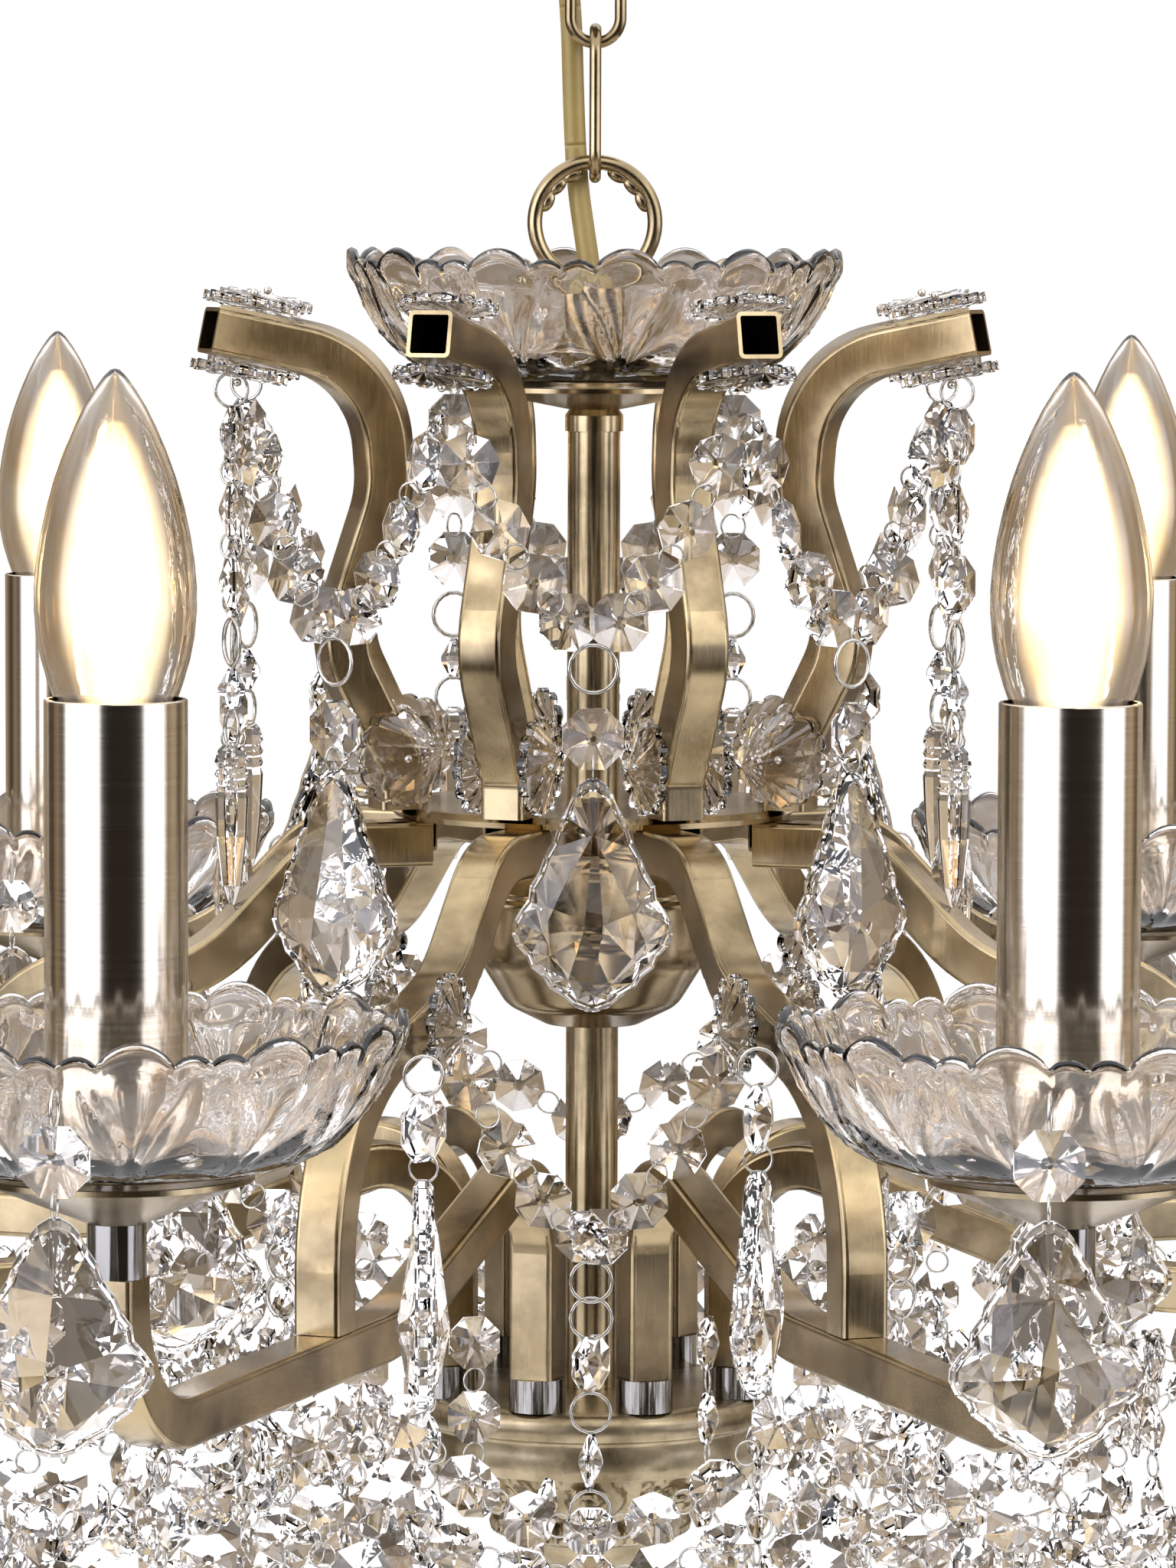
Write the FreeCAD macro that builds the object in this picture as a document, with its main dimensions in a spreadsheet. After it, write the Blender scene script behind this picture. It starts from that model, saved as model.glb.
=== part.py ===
import FreeCAD, Part
import math
import os
import Sketcher

# A hanging chandelier with eight candle arms. Millimetres, +Z up, -Y to the front.
# The origin is the middle of the bracket's face that lies on the ceiling.

os.makedirs("parts", exist_ok=True)
doc = FreeCAD.newDocument("chandelier")
sheet = doc.addObject("Spreadsheet::Sheet", "Sizes")
SIZES = {}


def sizes(**cells):
    """Write each named size into the next row of the sheet."""
    for alias, number in cells.items():
        SIZES[alias] = number
        row = len(SIZES)
        sheet.set(f"A{row}", alias)
        sheet.set(f"B{row}", str(number))
        sheet.setAlias(f"B{row}", alias)


# Ceiling fitting
sizes(plate_length=92, plate_width=24, plate_thick=2, screw_spacing=64, screw_hole_radius=2.2)
sizes(screw_shank_radius=1.9, screw_head_radius=4, screw_head_thick=2.4, screw_length=16)
sizes(screw_neck_radius=1.7, screw_neck_end=4.85)
sizes(rose_radius=52, rose_height=40, rose_wall=1.4, rose_nose_radius=15)
sizes(gland_radius=6, gland_length=11, gland_bore=3.1, cable_radius=2.75)
# Chain, ring and their play
sizes(chain_wire_radius=1.5, link_length=40.4, link_width=15.7, link_play=0.4)
sizes(loop_wire_radius=1.7, loop_radius=7.2, loop_height=-58.7)
sizes(ring_radius=15.3, ring_wire_radius=1.9, ring_stem_radius=4.8, ring_stem_bore=3.1)
sizes(ring_boss_radius=7.5, ring_stem_end=-198)
# Glass dishes, saucers and the column
sizes(dish_foot=24, dish_knee=52, dish_knee_up=9, dish_shoulder=61.5, dish_shoulder_up=22)
sizes(dish_rim=64, dish_depth=35, dish_wall=3, dish_hole=5.3, bowl_bottom=-179.6)
sizes(top_saucer_radius=30, top_saucer_bottom=-191, top_saucer_neck=7.4)
sizes(column_radius=6.7, column_bore=5.3, upper_column_length=94.8, collar_top=-286)
sizes(collar_radius=52, collar_thick=3, ball_radius=28.5, ball_height=-320.5, ball_half=22.4)
sizes(lower_column_length=93.7, hub_top=-437)
sizes(hub_radius=47, hub_band_radius=44, hub_bowl_radius=41)
sizes(hub_rope_radius=25, hub_cup_radius=19, hub_height=52)
sizes(finial_radius=11, finial_height=22, drop_radius=15)
# Bent square tube
sizes(tube_half=5.75, tube_bore_half=4.75, tube_corner=1.4, tube_bore_corner=0.6)
sizes(foot_radius=54, foot_bend_up=10, belly_radius=70.5, belly_height=-244, waist_radius=57.5)
sizes(waist_height=-206, scroll_shoulder=60, scroll_shoulder_height=-174, tip_radius=104)
sizes(tip_height=-165, small_bend=10, belly_bend=22, waist_bend=30, scroll_bend=27)
sizes(stay_start=46, stay_height=-294.8, stay_bend_one=75, stay_bend_two=104)
sizes(stay_two_height=-324, stay_three_height=-344, stay_end=181)
sizes(stay_end_height=-395.9, stay_round_one=25, stay_round_two=45, stay_round_three=48)
sizes(arm_root=39.5, arm_root_height=-428.6, arch_height=-369, arm_low_radius=140)
sizes(arm_low_height=-401.5, candle_circle=300, arm_top_height=-366.1, arch_bend=20)
sizes(arm_low_bend=100, candle_bend=30)
# Arm sockets and candles
sizes(socket_radius=7.2, socket_height=8.3, holder_radius=6.5, holder_height=11.9)
sizes(stem_radius=4.7, stem_height=27, saucer_radius=30, saucer_height=10.7)
sizes(tube_radius=15.5, tube_inner=14.5, tube_height=98.3, lamp_radius=13.6)
sizes(lamp_height=83, lamp_bore=7.4, lamp_bore_depth=30)
sizes(cap_radius=6.8, cap_height=27, neck_radius=8.5, throat_radius=13, throat_up=41)
sizes(bulb_radius=17.5, bulb_wide_up=64, bulb_height=113)
# Crystals
sizes(rosette_radius=12.5, rosette_thick=3, octagon_radius=7.8, octagon_thick=6)
sizes(bead_radius=4, bead_length=11, icicle_radius=5, icicle_length=40, drop_thick=12)
sizes(big_drop_width=40, big_drop_length=58, dish_drop_width=42, dish_drop_length=51)

SCROLL_ANGLES = [22.5 + 45 * turn for turn in range(8)]
CANDLE_ANGLES = [20, 67.5, 112.5, 148.5, -148.5, -112.5, -67.5, -20]
CANDLE_BASE = -366
PENDANT_TURN = -7
GLAND_X, GLAND_Y = -9, 5.5


def cell(alias, plus=0.0, times=1.0):
    """A size as its number and as the expression that binds it."""
    text = f"{times} * Sizes.{alias} + {plus}" if plus >= 0 else f"{times} * Sizes.{alias} - {-plus}"
    return (times * SIZES[alias] + plus, text)


def place(obj, x=0.0, y=0.0, z=0.0, turn=0.0):
    turned_about_z = FreeCAD.Rotation(FreeCAD.Vector(0, 0, 1), turn)
    obj.Placement = FreeCAD.Placement(FreeCAD.Vector(x, y, z), turned_about_z)
    return obj


def polar(radius, angle, height=0.0):
    """A place at an angle from the front, to the right."""
    turn = math.radians(angle)
    return FreeCAD.Vector(radius * math.sin(turn), -radius * math.cos(turn), height)


def bind(sketch, kind, references, size):
    """Add a dimension to the sketch and bind it to the sheet; a zero holds the point on an axis."""
    number, text = size
    if abs(number) < 1e-9:
        axis = -2 if kind == "DistanceX" else -1
        sketch.addConstraint(Sketcher.Constraint("PointOnObject", *references, axis))
        return
    if kind == "Radius":
        index = sketch.addConstraint(Sketcher.Constraint(kind, *references, number))
    else:
        index = sketch.addConstraint(Sketcher.Constraint(kind, -1, 1, *references, number))
    if text:
        sketch.setExpression(f"Constraints[{index}]", text)


def as_size(value):
    return value if isinstance(value, tuple) else (float(value), "")


def draw(sketch, corners, closed):
    """Draw straight runs between the corners, with a tangent arc at each corner that has a radius."""
    count = len(corners)
    spots = [FreeCAD.Vector(as_size(c[0])[0], as_size(c[1])[0], 0) for c in corners]
    radii = [as_size(c[2]) if len(c) > 2 else (0.0, "") for c in corners]
    runs = count if closed else count - 1
    cut = []
    for i, spot in enumerate(spots):
        if radii[i][0] == 0:
            cut.append(0.0)
            continue
        before = (spot - spots[i - 1]).normalize()
        after = (spots[(i + 1) % count] - spot).normalize()
        cut.append(radii[i][0] * math.tan(before.getAngle(after) / 2))
    lines = []
    for i in range(runs):
        start, end = spots[i], spots[(i + 1) % count]
        along = (end - start).normalize()
        line = Part.LineSegment(start + along * cut[i], end - along * cut[(i + 1) % count])
        lines.append(sketch.addGeometry(line, False))
    for i, spot in enumerate(spots):
        inner = closed or 0 < i < count - 1
        if not inner:
            reference = (lines[0], 1) if i == 0 else (lines[-1], 2)
        elif cut[i] == 0:
            reference = (lines[i], 1)
            sketch.addConstraint(Sketcher.Constraint("Coincident", lines[i - 1], 2, lines[i], 1))
        else:
            reference = round_corner(sketch, lines[i - 1], lines[i], spot, radii[i])
        bind(sketch, "DistanceX", reference, as_size(corners[i][0]))
        bind(sketch, "DistanceY", reference, as_size(corners[i][1]))


def round_corner(sketch, before, after, spot, radius):
    """Join two lines by a tangent arc; the corner itself stays as a construction point."""
    first, last = sketch.getPoint(before, 2), sketch.getPoint(after, 1)
    toward, away = (spot - first).normalize(), (last - spot).normalize()
    left = toward.cross(away).z > 0
    side = FreeCAD.Vector(-toward.y, toward.x, 0) * (1 if left else -1)
    centre = first + side * radius[0]
    start, end = (first, last) if left else (last, first)
    begin = math.atan2(start.y - centre.y, start.x - centre.x)
    finish = math.atan2(end.y - centre.y, end.x - centre.x)
    if finish < begin:
        finish += 2 * math.pi
    circle = Part.Circle(centre, FreeCAD.Vector(0, 0, 1), radius[0])
    arc = sketch.addGeometry(Part.ArcOfCircle(circle, begin, finish), False)
    sketch.addConstraint(Sketcher.Constraint("Tangent", before, 2, arc, 1 if left else 2))
    sketch.addConstraint(Sketcher.Constraint("Tangent", arc, 2 if left else 1, after, 1))
    bind(sketch, "Radius", (arc,), radius)
    corner = sketch.addGeometry(Part.Point(spot), True)
    sketch.addConstraint(Sketcher.Constraint("PointOnObject", corner, 1, before))
    sketch.addConstraint(Sketcher.Constraint("PointOnObject", corner, 1, after))
    return (corner, 1)


def new_sketch(body, name, role, shift=None):
    sketch = body.newObject("Sketcher::SketchObject", name)
    plane = [f for f in body.Origin.OriginFeatures if f.Role == role][0]
    sketch.AttachmentSupport = [(plane, "")]
    sketch.MapMode = "FlatFace"
    if shift:
        sketch.AttachmentOffset = FreeCAD.Placement(FreeCAD.Vector(*shift), FreeCAD.Rotation())
    return sketch


def new_body(label):
    body = doc.addObject("PartDesign::Body", label)
    body.Label = label
    return body


def turned(label, corners):
    """A piece turned about its own Z axis from a closed outline of radius and height."""
    body = new_body(label)
    sketch = new_sketch(body, "Outline", "XZ_Plane")
    draw(sketch, corners, True)
    spin = body.newObject("PartDesign::Revolution", "Turning")
    spin.Profile = sketch
    spin.ReferenceAxis = (sketch, ["V_Axis"])
    spin.Angle = 360
    sketch.Visibility = False
    return body


def square_tube(label, corners, upright):
    """A bent square tube along a line in the XZ plane, with its bore open at both ends."""
    body = new_body(label)
    spine = new_sketch(body, "Spine", "XZ_Plane")
    draw(spine, corners, False)
    start_x, start_z = as_size(corners[0][0])[0], as_size(corners[0][1])[0]
    if upright:
        profile = new_sketch(body, "Section", "XY_Plane", (start_x, 0, start_z))
    else:
        profile = new_sketch(body, "Section", "YZ_Plane", (0, start_z, start_x))
    for half, corner in (("tube_half", "tube_corner"), ("tube_bore_half", "tube_bore_corner")):
        near, far = cell(half, times=-1), cell(half)
        round_by = cell(corner)
        square = [(near, near, round_by), (far, near, round_by), (far, far, round_by)]
        draw(profile, square + [(near, far, round_by)], True)
    doc.recompute()
    sweep = body.newObject("PartDesign::AdditivePipe", "Sweep")
    sweep.Profile = profile
    sweep.Spine = (spine, [f"Edge{i + 1}" for i in range(len(spine.Shape.Edges))])
    sweep.Mode = "Standard"
    return body


def cylinder(label, radius, height, z, x=0.0, y=0.0):
    rod = doc.addObject("Part::Cylinder", label)
    rod.setExpression("Radius", radius[1])
    rod.setExpression("Height", height[1])
    return place(rod, x, y, z)


def cut(label, base, tool):
    result = doc.addObject("Part::Cut", label)
    result.Label = label
    result.Base = base
    result.Tool = tool
    return result


def group(label, pieces):
    """Separate solids under one name."""
    compound = doc.addObject("Part::Compound", label)
    compound.Label = label
    compound.Links = pieces
    return compound


def shaped(label, solids):
    """A group of plain solids whose shape comes from code."""
    feature = doc.addObject("Part::Feature", label)
    feature.Label = label
    feature.Shape = Part.makeCompound(solids)
    return feature


# Ceiling fitting: bracket, two screws, rose, loop and cable gland
plate = place(doc.addObject("Part::Box", "PlateBlank"), -SIZES["plate_length"] / 2, -SIZES["plate_width"] / 2,
              -SIZES["plate_thick"])
plate.setExpression("Length", "Sizes.plate_length")
plate.setExpression("Width", "Sizes.plate_width")
plate.setExpression("Height", "Sizes.plate_thick")
holes = []
for side in (-1, 1):
    hole = cylinder("ScrewHole", cell("screw_hole_radius"), cell("plate_thick", 2), -SIZES["plate_thick"] - 1,
                    side * SIZES["screw_spacing"] / 2)
    holes.append(hole)
ceiling_plate = cut("ceiling_plate", plate, group("ScrewHoles", holes))

screws = []
for side in (-1, 1):
    screw = turned("CeilingScrew", [
        (0, 0), (cell("screw_head_radius"), 0), (cell("screw_head_radius"), cell("screw_head_thick")),
        (cell("screw_neck_radius"), cell("screw_head_thick")),
        (cell("screw_neck_radius"), cell("screw_neck_end")),
        (cell("screw_shank_radius"), cell("screw_neck_end")),
        (cell("screw_shank_radius"), cell("screw_length")),
        (0, cell("screw_length"))])
    screw_low = -SIZES["plate_thick"] - SIZES["screw_head_thick"] - 0.05
    screws.append(place(screw, side * SIZES["screw_spacing"] / 2, 0, screw_low))
ceiling_screws = group("ceiling_screws", screws)

rose_shell = turned("RoseShell", [
    (0, 0), (cell("rose_nose_radius"), 0, 4), (cell("rose_nose_radius", 4), 9, 10),
    (cell("rose_radius"), 24, 14), (cell("rose_radius"), cell("rose_height")),
    (cell("rose_radius", -SIZES["rose_wall"]), cell("rose_height")),
    (cell("rose_radius", -SIZES["rose_wall"]), 25.2, 12.6),
    (cell("rose_nose_radius", 3), 10.4, 8.6), (cell("rose_nose_radius", -SIZES["rose_wall"]), 1.4, 2.6),
    (0, cell("rose_wall"))])
place(rose_shell, 0, 0, -SIZES["rose_height"])
rose_hole = cylinder("RoseHole", cell("gland_radius", -1.8), cell("rose_height"), -SIZES["rose_height"] - 1,
                     GLAND_X, GLAND_Y)
ceiling_rose = cut("ceiling_rose", rose_shell, rose_hole)


def half_ring(label, radius, wire, middle, upward, edge_on):
    """Half of a wire ring that stands upright, its open side down or up."""
    ring = doc.addObject("Part::Torus", label)
    ring.setExpression("Radius1", radius[1])
    ring.setExpression("Radius2", wire[1])
    ring.Angle3 = 180
    standing = FreeCAD.Rotation(FreeCAD.Vector(1, 0, 0), 90 if upward else -90)
    facing = FreeCAD.Rotation(FreeCAD.Vector(0, 0, 1), 90 if edge_on else 0)
    ring.Placement = FreeCAD.Placement(FreeCAD.Vector(0, 0, middle), facing.multiply(standing))
    return ring


def chain_link(label, top, edge_on):
    """A welded oval link: two half rings and two straight sides."""
    radius = SIZES["link_width"] / 2 - SIZES["chain_wire_radius"]
    bend = (radius, "Sizes.link_width / 2 - Sizes.chain_wire_radius")
    wire = cell("chain_wire_radius")
    side_length = (0, "Sizes.link_length - Sizes.link_width")
    upper = top - SIZES["link_width"] / 2
    lower = top - SIZES["link_length"] + SIZES["link_width"] / 2
    pieces = [half_ring("LinkTop", bend, wire, upper, True, edge_on)]
    pieces.append(half_ring("LinkBottom", bend, wire, lower, False, edge_on))
    for side in (-1, 1):
        x, y = (0, side * radius) if edge_on else (side * radius, 0)
        pieces.append(cylinder("LinkSide", wire, side_length, lower, x, y))
    link = doc.addObject("Part::MultiFuse", label)
    link.Label = label
    link.Shapes = pieces
    return link


# The loop's lowest wire carries the upper link, that one the lower link, and that one the ring.
# Each end lies around the next one's wire with a little play.
chain_wire = 2 * SIZES["chain_wire_radius"]
upper_top = SIZES["loop_height"] + SIZES["loop_wire_radius"] + SIZES["link_play"] + chain_wire
lower_top = upper_top - SIZES["link_length"] + SIZES["link_play"] + 2 * chain_wire
lower_bottom = lower_top - SIZES["link_length"]
ring_top = lower_bottom + chain_wire + SIZES["link_play"] + 2 * SIZES["ring_wire_radius"]
ring_middle = ring_top - SIZES["ring_wire_radius"] - SIZES["ring_radius"]
upper_link = chain_link("upper_link", upper_top, False)
lower_link = chain_link("lower_link", lower_top, True)

loop_middle = SIZES["loop_height"] + SIZES["loop_radius"]
loop_stem_foot = loop_middle + SIZES["loop_radius"] - 1
loop_ring = doc.addObject("Part::Torus", "LoopRing")
loop_ring.setExpression("Radius1", "Sizes.loop_radius")
loop_ring.setExpression("Radius2", "Sizes.loop_wire_radius")
upright_edge_on = FreeCAD.Rotation(FreeCAD.Vector(0, 1, 0), 90)
loop_ring.Placement = FreeCAD.Placement(FreeCAD.Vector(0, 0, loop_middle), upright_edge_on)
loop_stem_length = (0, f"{-loop_stem_foot - 0.05:.2f} - Sizes.rose_height")
loop_stem = cylinder("LoopStem", cell("loop_wire_radius", 0.6), loop_stem_length, loop_stem_foot)
ceiling_loop = doc.addObject("Part::MultiFuse", "ceiling_loop")
ceiling_loop.Label = "ceiling_loop"
ceiling_loop.Shapes = [loop_ring, loop_stem]

# Cable gland, screwed through the rose beside the loop
gland = turned("cable_gland", [
    (cell("gland_bore"), 0), (cell("gland_radius", -1.5), 0, 1), (cell("gland_radius"), 4),
    (cell("gland_radius"), 7.9), (cell("gland_radius", -2), 7.9),
    (cell("gland_radius", -2), cell("gland_length")),
    (cell("gland_bore"), cell("gland_length"))])
place(gland, GLAND_X, GLAND_Y, -SIZES["rose_height"] - 7.95)

# The hanging ring and its hollow threaded stem, which clamps the bowl and the saucer to the column
ring_low = ring_middle - SIZES["ring_radius"] - SIZES["ring_wire_radius"]
ring_body = doc.addObject("Part::Torus", "RingWire")
ring_body.setExpression("Radius1", "Sizes.ring_radius")
ring_body.setExpression("Radius2", "Sizes.ring_wire_radius")
face_on = FreeCAD.Rotation(FreeCAD.Vector(1, 0, 0), 90)
ring_body.Placement = FreeCAD.Placement(FreeCAD.Vector(0, 0, ring_middle), face_on)
boss_low = SIZES["bowl_bottom"] + SIZES["dish_wall"] + 0.05
ring_boss = cylinder("RingBoss", cell("ring_boss_radius"), (0, f"{ring_low + 2 - boss_low:.2f}"), boss_low)
ring_stem_length = (0, f"{ring_low:.2f} - Sizes.ring_stem_end")
ring_stem = cylinder("RingStem", cell("ring_stem_radius"), ring_stem_length, SIZES["ring_stem_end"])
ring_solid = doc.addObject("Part::MultiFuse", "RingSolid")
ring_solid.Shapes = [ring_body, ring_boss, ring_stem]
ring_bore_length = (0, "30 + Sizes.ring_radius")
ring_bore = cylinder("RingBore", cell("ring_stem_bore"), ring_bore_length, SIZES["ring_stem_end"] - 1)
ring_mouth = doc.addObject("Part::Cone", "RingMouth")
ring_mouth.setExpression("Radius1", "Sizes.ring_stem_bore")
ring_mouth.setExpression("Radius2", "2 * Sizes.ring_stem_bore + 1.8")
ring_mouth.Height = 18
place(ring_mouth, 0, 0, ring_low - 10)
hanging_ring = cut("hanging_ring", ring_solid, group("RingCuts", [ring_bore, ring_mouth]))


def glass_dish(label):
    """A pressed glass dish with a hole for the stem in its foot."""
    wall = SIZES["dish_wall"]
    return turned(label, [
        (cell("dish_hole"), 0), (cell("dish_foot"), 0, 6), (cell("dish_knee"), cell("dish_knee_up"), 26),
        (cell("dish_shoulder"), cell("dish_shoulder_up"), 20), (cell("dish_rim"), cell("dish_depth")),
        (cell("dish_rim", -wall), cell("dish_depth", 0.5)),
        (cell("dish_shoulder", -wall - 0.3), cell("dish_shoulder_up", 0.7), 17),
        (cell("dish_knee", -wall + 1.2), cell("dish_knee_up", wall), 23),
        (cell("dish_foot", -1), cell("dish_wall"), 6), (cell("dish_hole"), cell("dish_wall"))])


def brass_saucer(label, radius, neck, rise, bore):
    """A spun saucer, coned underneath, that the glass dish stands on."""
    return turned(label, [
        (cell(bore, 0.3), 0), (cell(neck), 0), (cell(radius), cell(rise, -1.2)), (cell(radius), cell(rise)),
        (cell(radius, -1.2), cell(rise)), (cell(neck, 4), cell(rise, -1.9)),
        (cell(bore, 0.3), cell(rise, -1.9))])


top_bowl = place(glass_dish("top_bowl"), 0, 0, SIZES["bowl_bottom"])
top_saucer = place(turned("top_saucer", [
    (cell("ring_stem_radius", 0.3), 0), (cell("top_saucer_neck"), 0), (cell("top_saucer_neck"), 4),
    (cell("top_saucer_neck", -1), 5.5), (cell("top_saucer_radius"), 10.1), (cell("top_saucer_radius"), 11.3),
    (cell("ring_stem_radius", 0.3), 11.3)]), 0, 0, SIZES["top_saucer_bottom"])
upper_column = place(turned("upper_column", [
    (cell("column_bore"), 0), (cell("column_radius"), 0),
    (cell("column_radius"), cell("upper_column_length")),
    (cell("column_bore"), cell("upper_column_length"))]), 0, 0, SIZES["collar_top"] + 0.05)
collar = place(turned("collar", [
    (0, 0), (cell("collar_radius", -1.5), 0), (cell("collar_radius"), 1.5),
    (cell("collar_radius", -1.5), cell("collar_thick")), (0, cell("collar_thick"))]),
    0, 0, SIZES["collar_top"] - SIZES["collar_thick"])
ball_low = SIZES["ball_height"] - SIZES["ball_half"]
hub_ball = place(turned("hub_ball", [
    (0, 0), (12, 0, 3), (22, 5, 8), (cell("ball_radius", 1), 17, 12), (cell("ball_radius"), 32, 3),
    (cell("ball_radius", -1.6), 33, 1), (cell("ball_radius", -1.8), 34.4, 1), (24, 38, 8), (15, 44.5, 5),
    (11, 45, 3), (10, 53.8), (0, 53.8)]), 0, 0, ball_low)
lower_column = place(turned("lower_column", [
    (cell("column_bore"), 0), (cell("column_radius"), 0),
    (cell("column_radius"), cell("lower_column_length")),
    (cell("column_bore"), cell("lower_column_length"))]), 0, 0, SIZES["hub_top"] + 0.05)
base_hub = place(turned("base_hub", [
    (0, 0), (8, 0), (12, 4, 3), (cell("hub_cup_radius"), 10, 6), (cell("hub_cup_radius", 1), 13),
    (cell("hub_rope_radius"), 14.5, 1), (cell("hub_rope_radius"), 18, 1), (24, 20),
    (36, 24, 14), (cell("hub_bowl_radius"), 34), (cell("hub_band_radius"), 35),
    (cell("hub_band_radius", 1), 44, 2),
    (cell("hub_radius"), 45), (cell("hub_radius"), 50, 1.5), (cell("hub_radius", -3), cell("hub_height"), 1),
    (0, cell("hub_height"))]), 0, 0, SIZES["hub_top"] - SIZES["hub_height"])
finial_top = SIZES["hub_top"] - SIZES["hub_height"] - 0.05
base_finial = place(turned("base_finial", [
    (0, 0), (2.5, 0), (4, 3, 2), (9, 6, 4), (cell("finial_radius"), 11, 4), (8, 16, 4), (5, 18, 1),
    (6, cell("finial_height")), (0, cell("finial_height"))]), 0, 0, finial_top - SIZES["finial_height"])
bottom_drop = place(turned("bottom_drop", [
    (0, 0), (9, 2, 3), (cell("drop_radius"), 11, 6), (cell("drop_radius"), 19, 6), (8, 28, 4), (3, 31, 1),
    (0, 34)]), 0, 0, finial_top - SIZES["finial_height"] - 38)

# Bent square tubes
foot_top = SIZES["collar_top"] + 0.05


def scroll(label, angle):
    body = square_tube(label, [
        (cell("foot_radius"), foot_top),
        (cell("foot_radius"), foot_top + SIZES["foot_bend_up"], cell("small_bend")),
        (cell("belly_radius"), cell("belly_height"), cell("belly_bend")),
        (cell("waist_radius"), cell("waist_height"), cell("waist_bend")),
        (cell("scroll_shoulder"), cell("scroll_shoulder_height"), cell("scroll_bend")),
        (cell("tip_radius"), cell("tip_height"))], True)
    return place(body, 0, 0, 0, angle - 90)


def stay(label, angle):
    body = square_tube(label, [
        (cell("stay_start"), cell("stay_height")),
        (cell("stay_bend_one"), cell("stay_height"), cell("stay_round_one")),
        (cell("stay_bend_two"), cell("stay_two_height"), cell("stay_round_two")),
        (cell("stay_end"), cell("stay_three_height"), cell("stay_round_three")),
        (cell("stay_end"), cell("stay_end_height"))], False)
    return place(body, 0, 0, 0, angle - 90)


def candle_arm(label, angle):
    body = square_tube(label, [
        (cell("arm_root"), cell("arm_root_height")),
        (cell("arm_root"), cell("arch_height"), cell("arch_bend")),
        (cell("arm_low_radius"), cell("arm_low_height"), cell("arm_low_bend")),
        (cell("candle_circle"), cell("arm_low_height", -1), cell("candle_bend")),
        (cell("candle_circle"), cell("arm_top_height"))], True)
    return place(body, 0, 0, 0, angle - 90)


upper_scrolls = group("upper_scrolls", [scroll("Scroll", angle) for angle in SCROLL_ANGLES])
stays = group("stays", [stay("Stay", angle) for angle in CANDLE_ANGLES])
nodes = [ceiling_plate, ceiling_screws, ceiling_rose, ceiling_loop, gland, upper_link, lower_link]
nodes += [hanging_ring, top_bowl, top_saucer, upper_column, collar, hub_ball, lower_column]
nodes += [base_hub, base_finial, bottom_drop, upper_scrolls, stays]
for number, angle in enumerate(CANDLE_ANGLES, 1):
    nodes.append(candle_arm(f"candle_arm_{number}", angle))

# Sockets and candles
sockets = []
holders = []
saucers = []
lampholders = []
for angle in CANDLE_ANGLES:
    foot = polar(SIZES["arm_root"], angle, SIZES["hub_top"] + 0.05)
    socket_length = cell("socket_height", -0.05)
    sockets.append(cylinder("Socket", cell("socket_radius"), socket_length, foot.z, foot.x, foot.y))
    spot = polar(SIZES["candle_circle"], angle, CANDLE_BASE)
    holder = turned("Holder", [
        (0, 0), (cell("holder_radius"), 0), (cell("holder_radius"), cell("holder_height")),
        (cell("stem_radius"), cell("holder_height")), (cell("stem_radius"), cell("stem_height", -0.1)),
        (0, cell("stem_height", -0.1))])
    holders.append(place(holder, spot.x, spot.y, spot.z))
    saucer = brass_saucer("Saucer", "saucer_radius", "holder_radius", "saucer_height", "stem_radius")
    saucers.append(place(saucer, spot.x, spot.y, spot.z + SIZES["holder_height"] + 0.05))
    lampholder = turned("Lampholder", [
        (0, 0), (cell("lamp_radius"), 0), (cell("lamp_radius"), cell("lamp_height")),
        (cell("lamp_bore"), cell("lamp_height")),
        (cell("lamp_bore"), cell("lamp_height", -SIZES["lamp_bore_depth"])),
        (0, cell("lamp_height", -SIZES["lamp_bore_depth"]))])
    lampholders.append(place(lampholder, spot.x, spot.y, spot.z + SIZES["stem_height"]))
nodes.append(group("arm_sockets", sockets))
nodes.append(group("holder_ferrules", holders))
nodes.append(group("candle_saucers", saucers))
nodes.append(group("lampholders", lampholders))

bulbs = []
for number, angle in enumerate(CANDLE_ANGLES, 1):
    spot = polar(SIZES["candle_circle"], angle, CANDLE_BASE)
    dish_low = spot.z + SIZES["holder_height"] + SIZES["saucer_height"] + 0.35
    nodes.append(place(glass_dish(f"candle_dish_{number}"), spot.x, spot.y, dish_low))
    tube = turned(f"candle_tube_{number}", [
        (cell("tube_inner"), 0), (cell("tube_radius"), 0), (cell("tube_radius"), cell("tube_height"), 0.4),
        (cell("tube_inner"), cell("tube_height"))])
    nodes.append(place(tube, spot.x, spot.y, spot.z + SIZES["stem_height"]))
    bulb = turned(f"bulb_{number}", [
        (0, 0), (cell("cap_radius", -2), 0), (cell("cap_radius"), 2.5),
        (cell("cap_radius"), cell("cap_height")),
        (cell("neck_radius"), cell("cap_height", 1), 1), (cell("throat_radius"), cell("throat_up"), 40),
        (cell("bulb_radius"), cell("throat_up", 10), 30), (cell("bulb_radius"), cell("bulb_wide_up", 8), 60),
        (10.5, cell("bulb_height", -16), 40), (0, cell("bulb_height"))])
    bulb_low = spot.z + SIZES["stem_height"] + SIZES["lamp_height"] - 26.7
    bulbs.append(place(bulb, spot.x, spot.y, bulb_low))
nodes.extend(bulbs)


# Stamped glass rosettes, pinned in pairs to the tubes
def standing_disc(radius, thick, middle, normal):
    start = middle - normal * (thick / 2)
    return Part.makeCylinder(radius, thick, start, normal)


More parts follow.
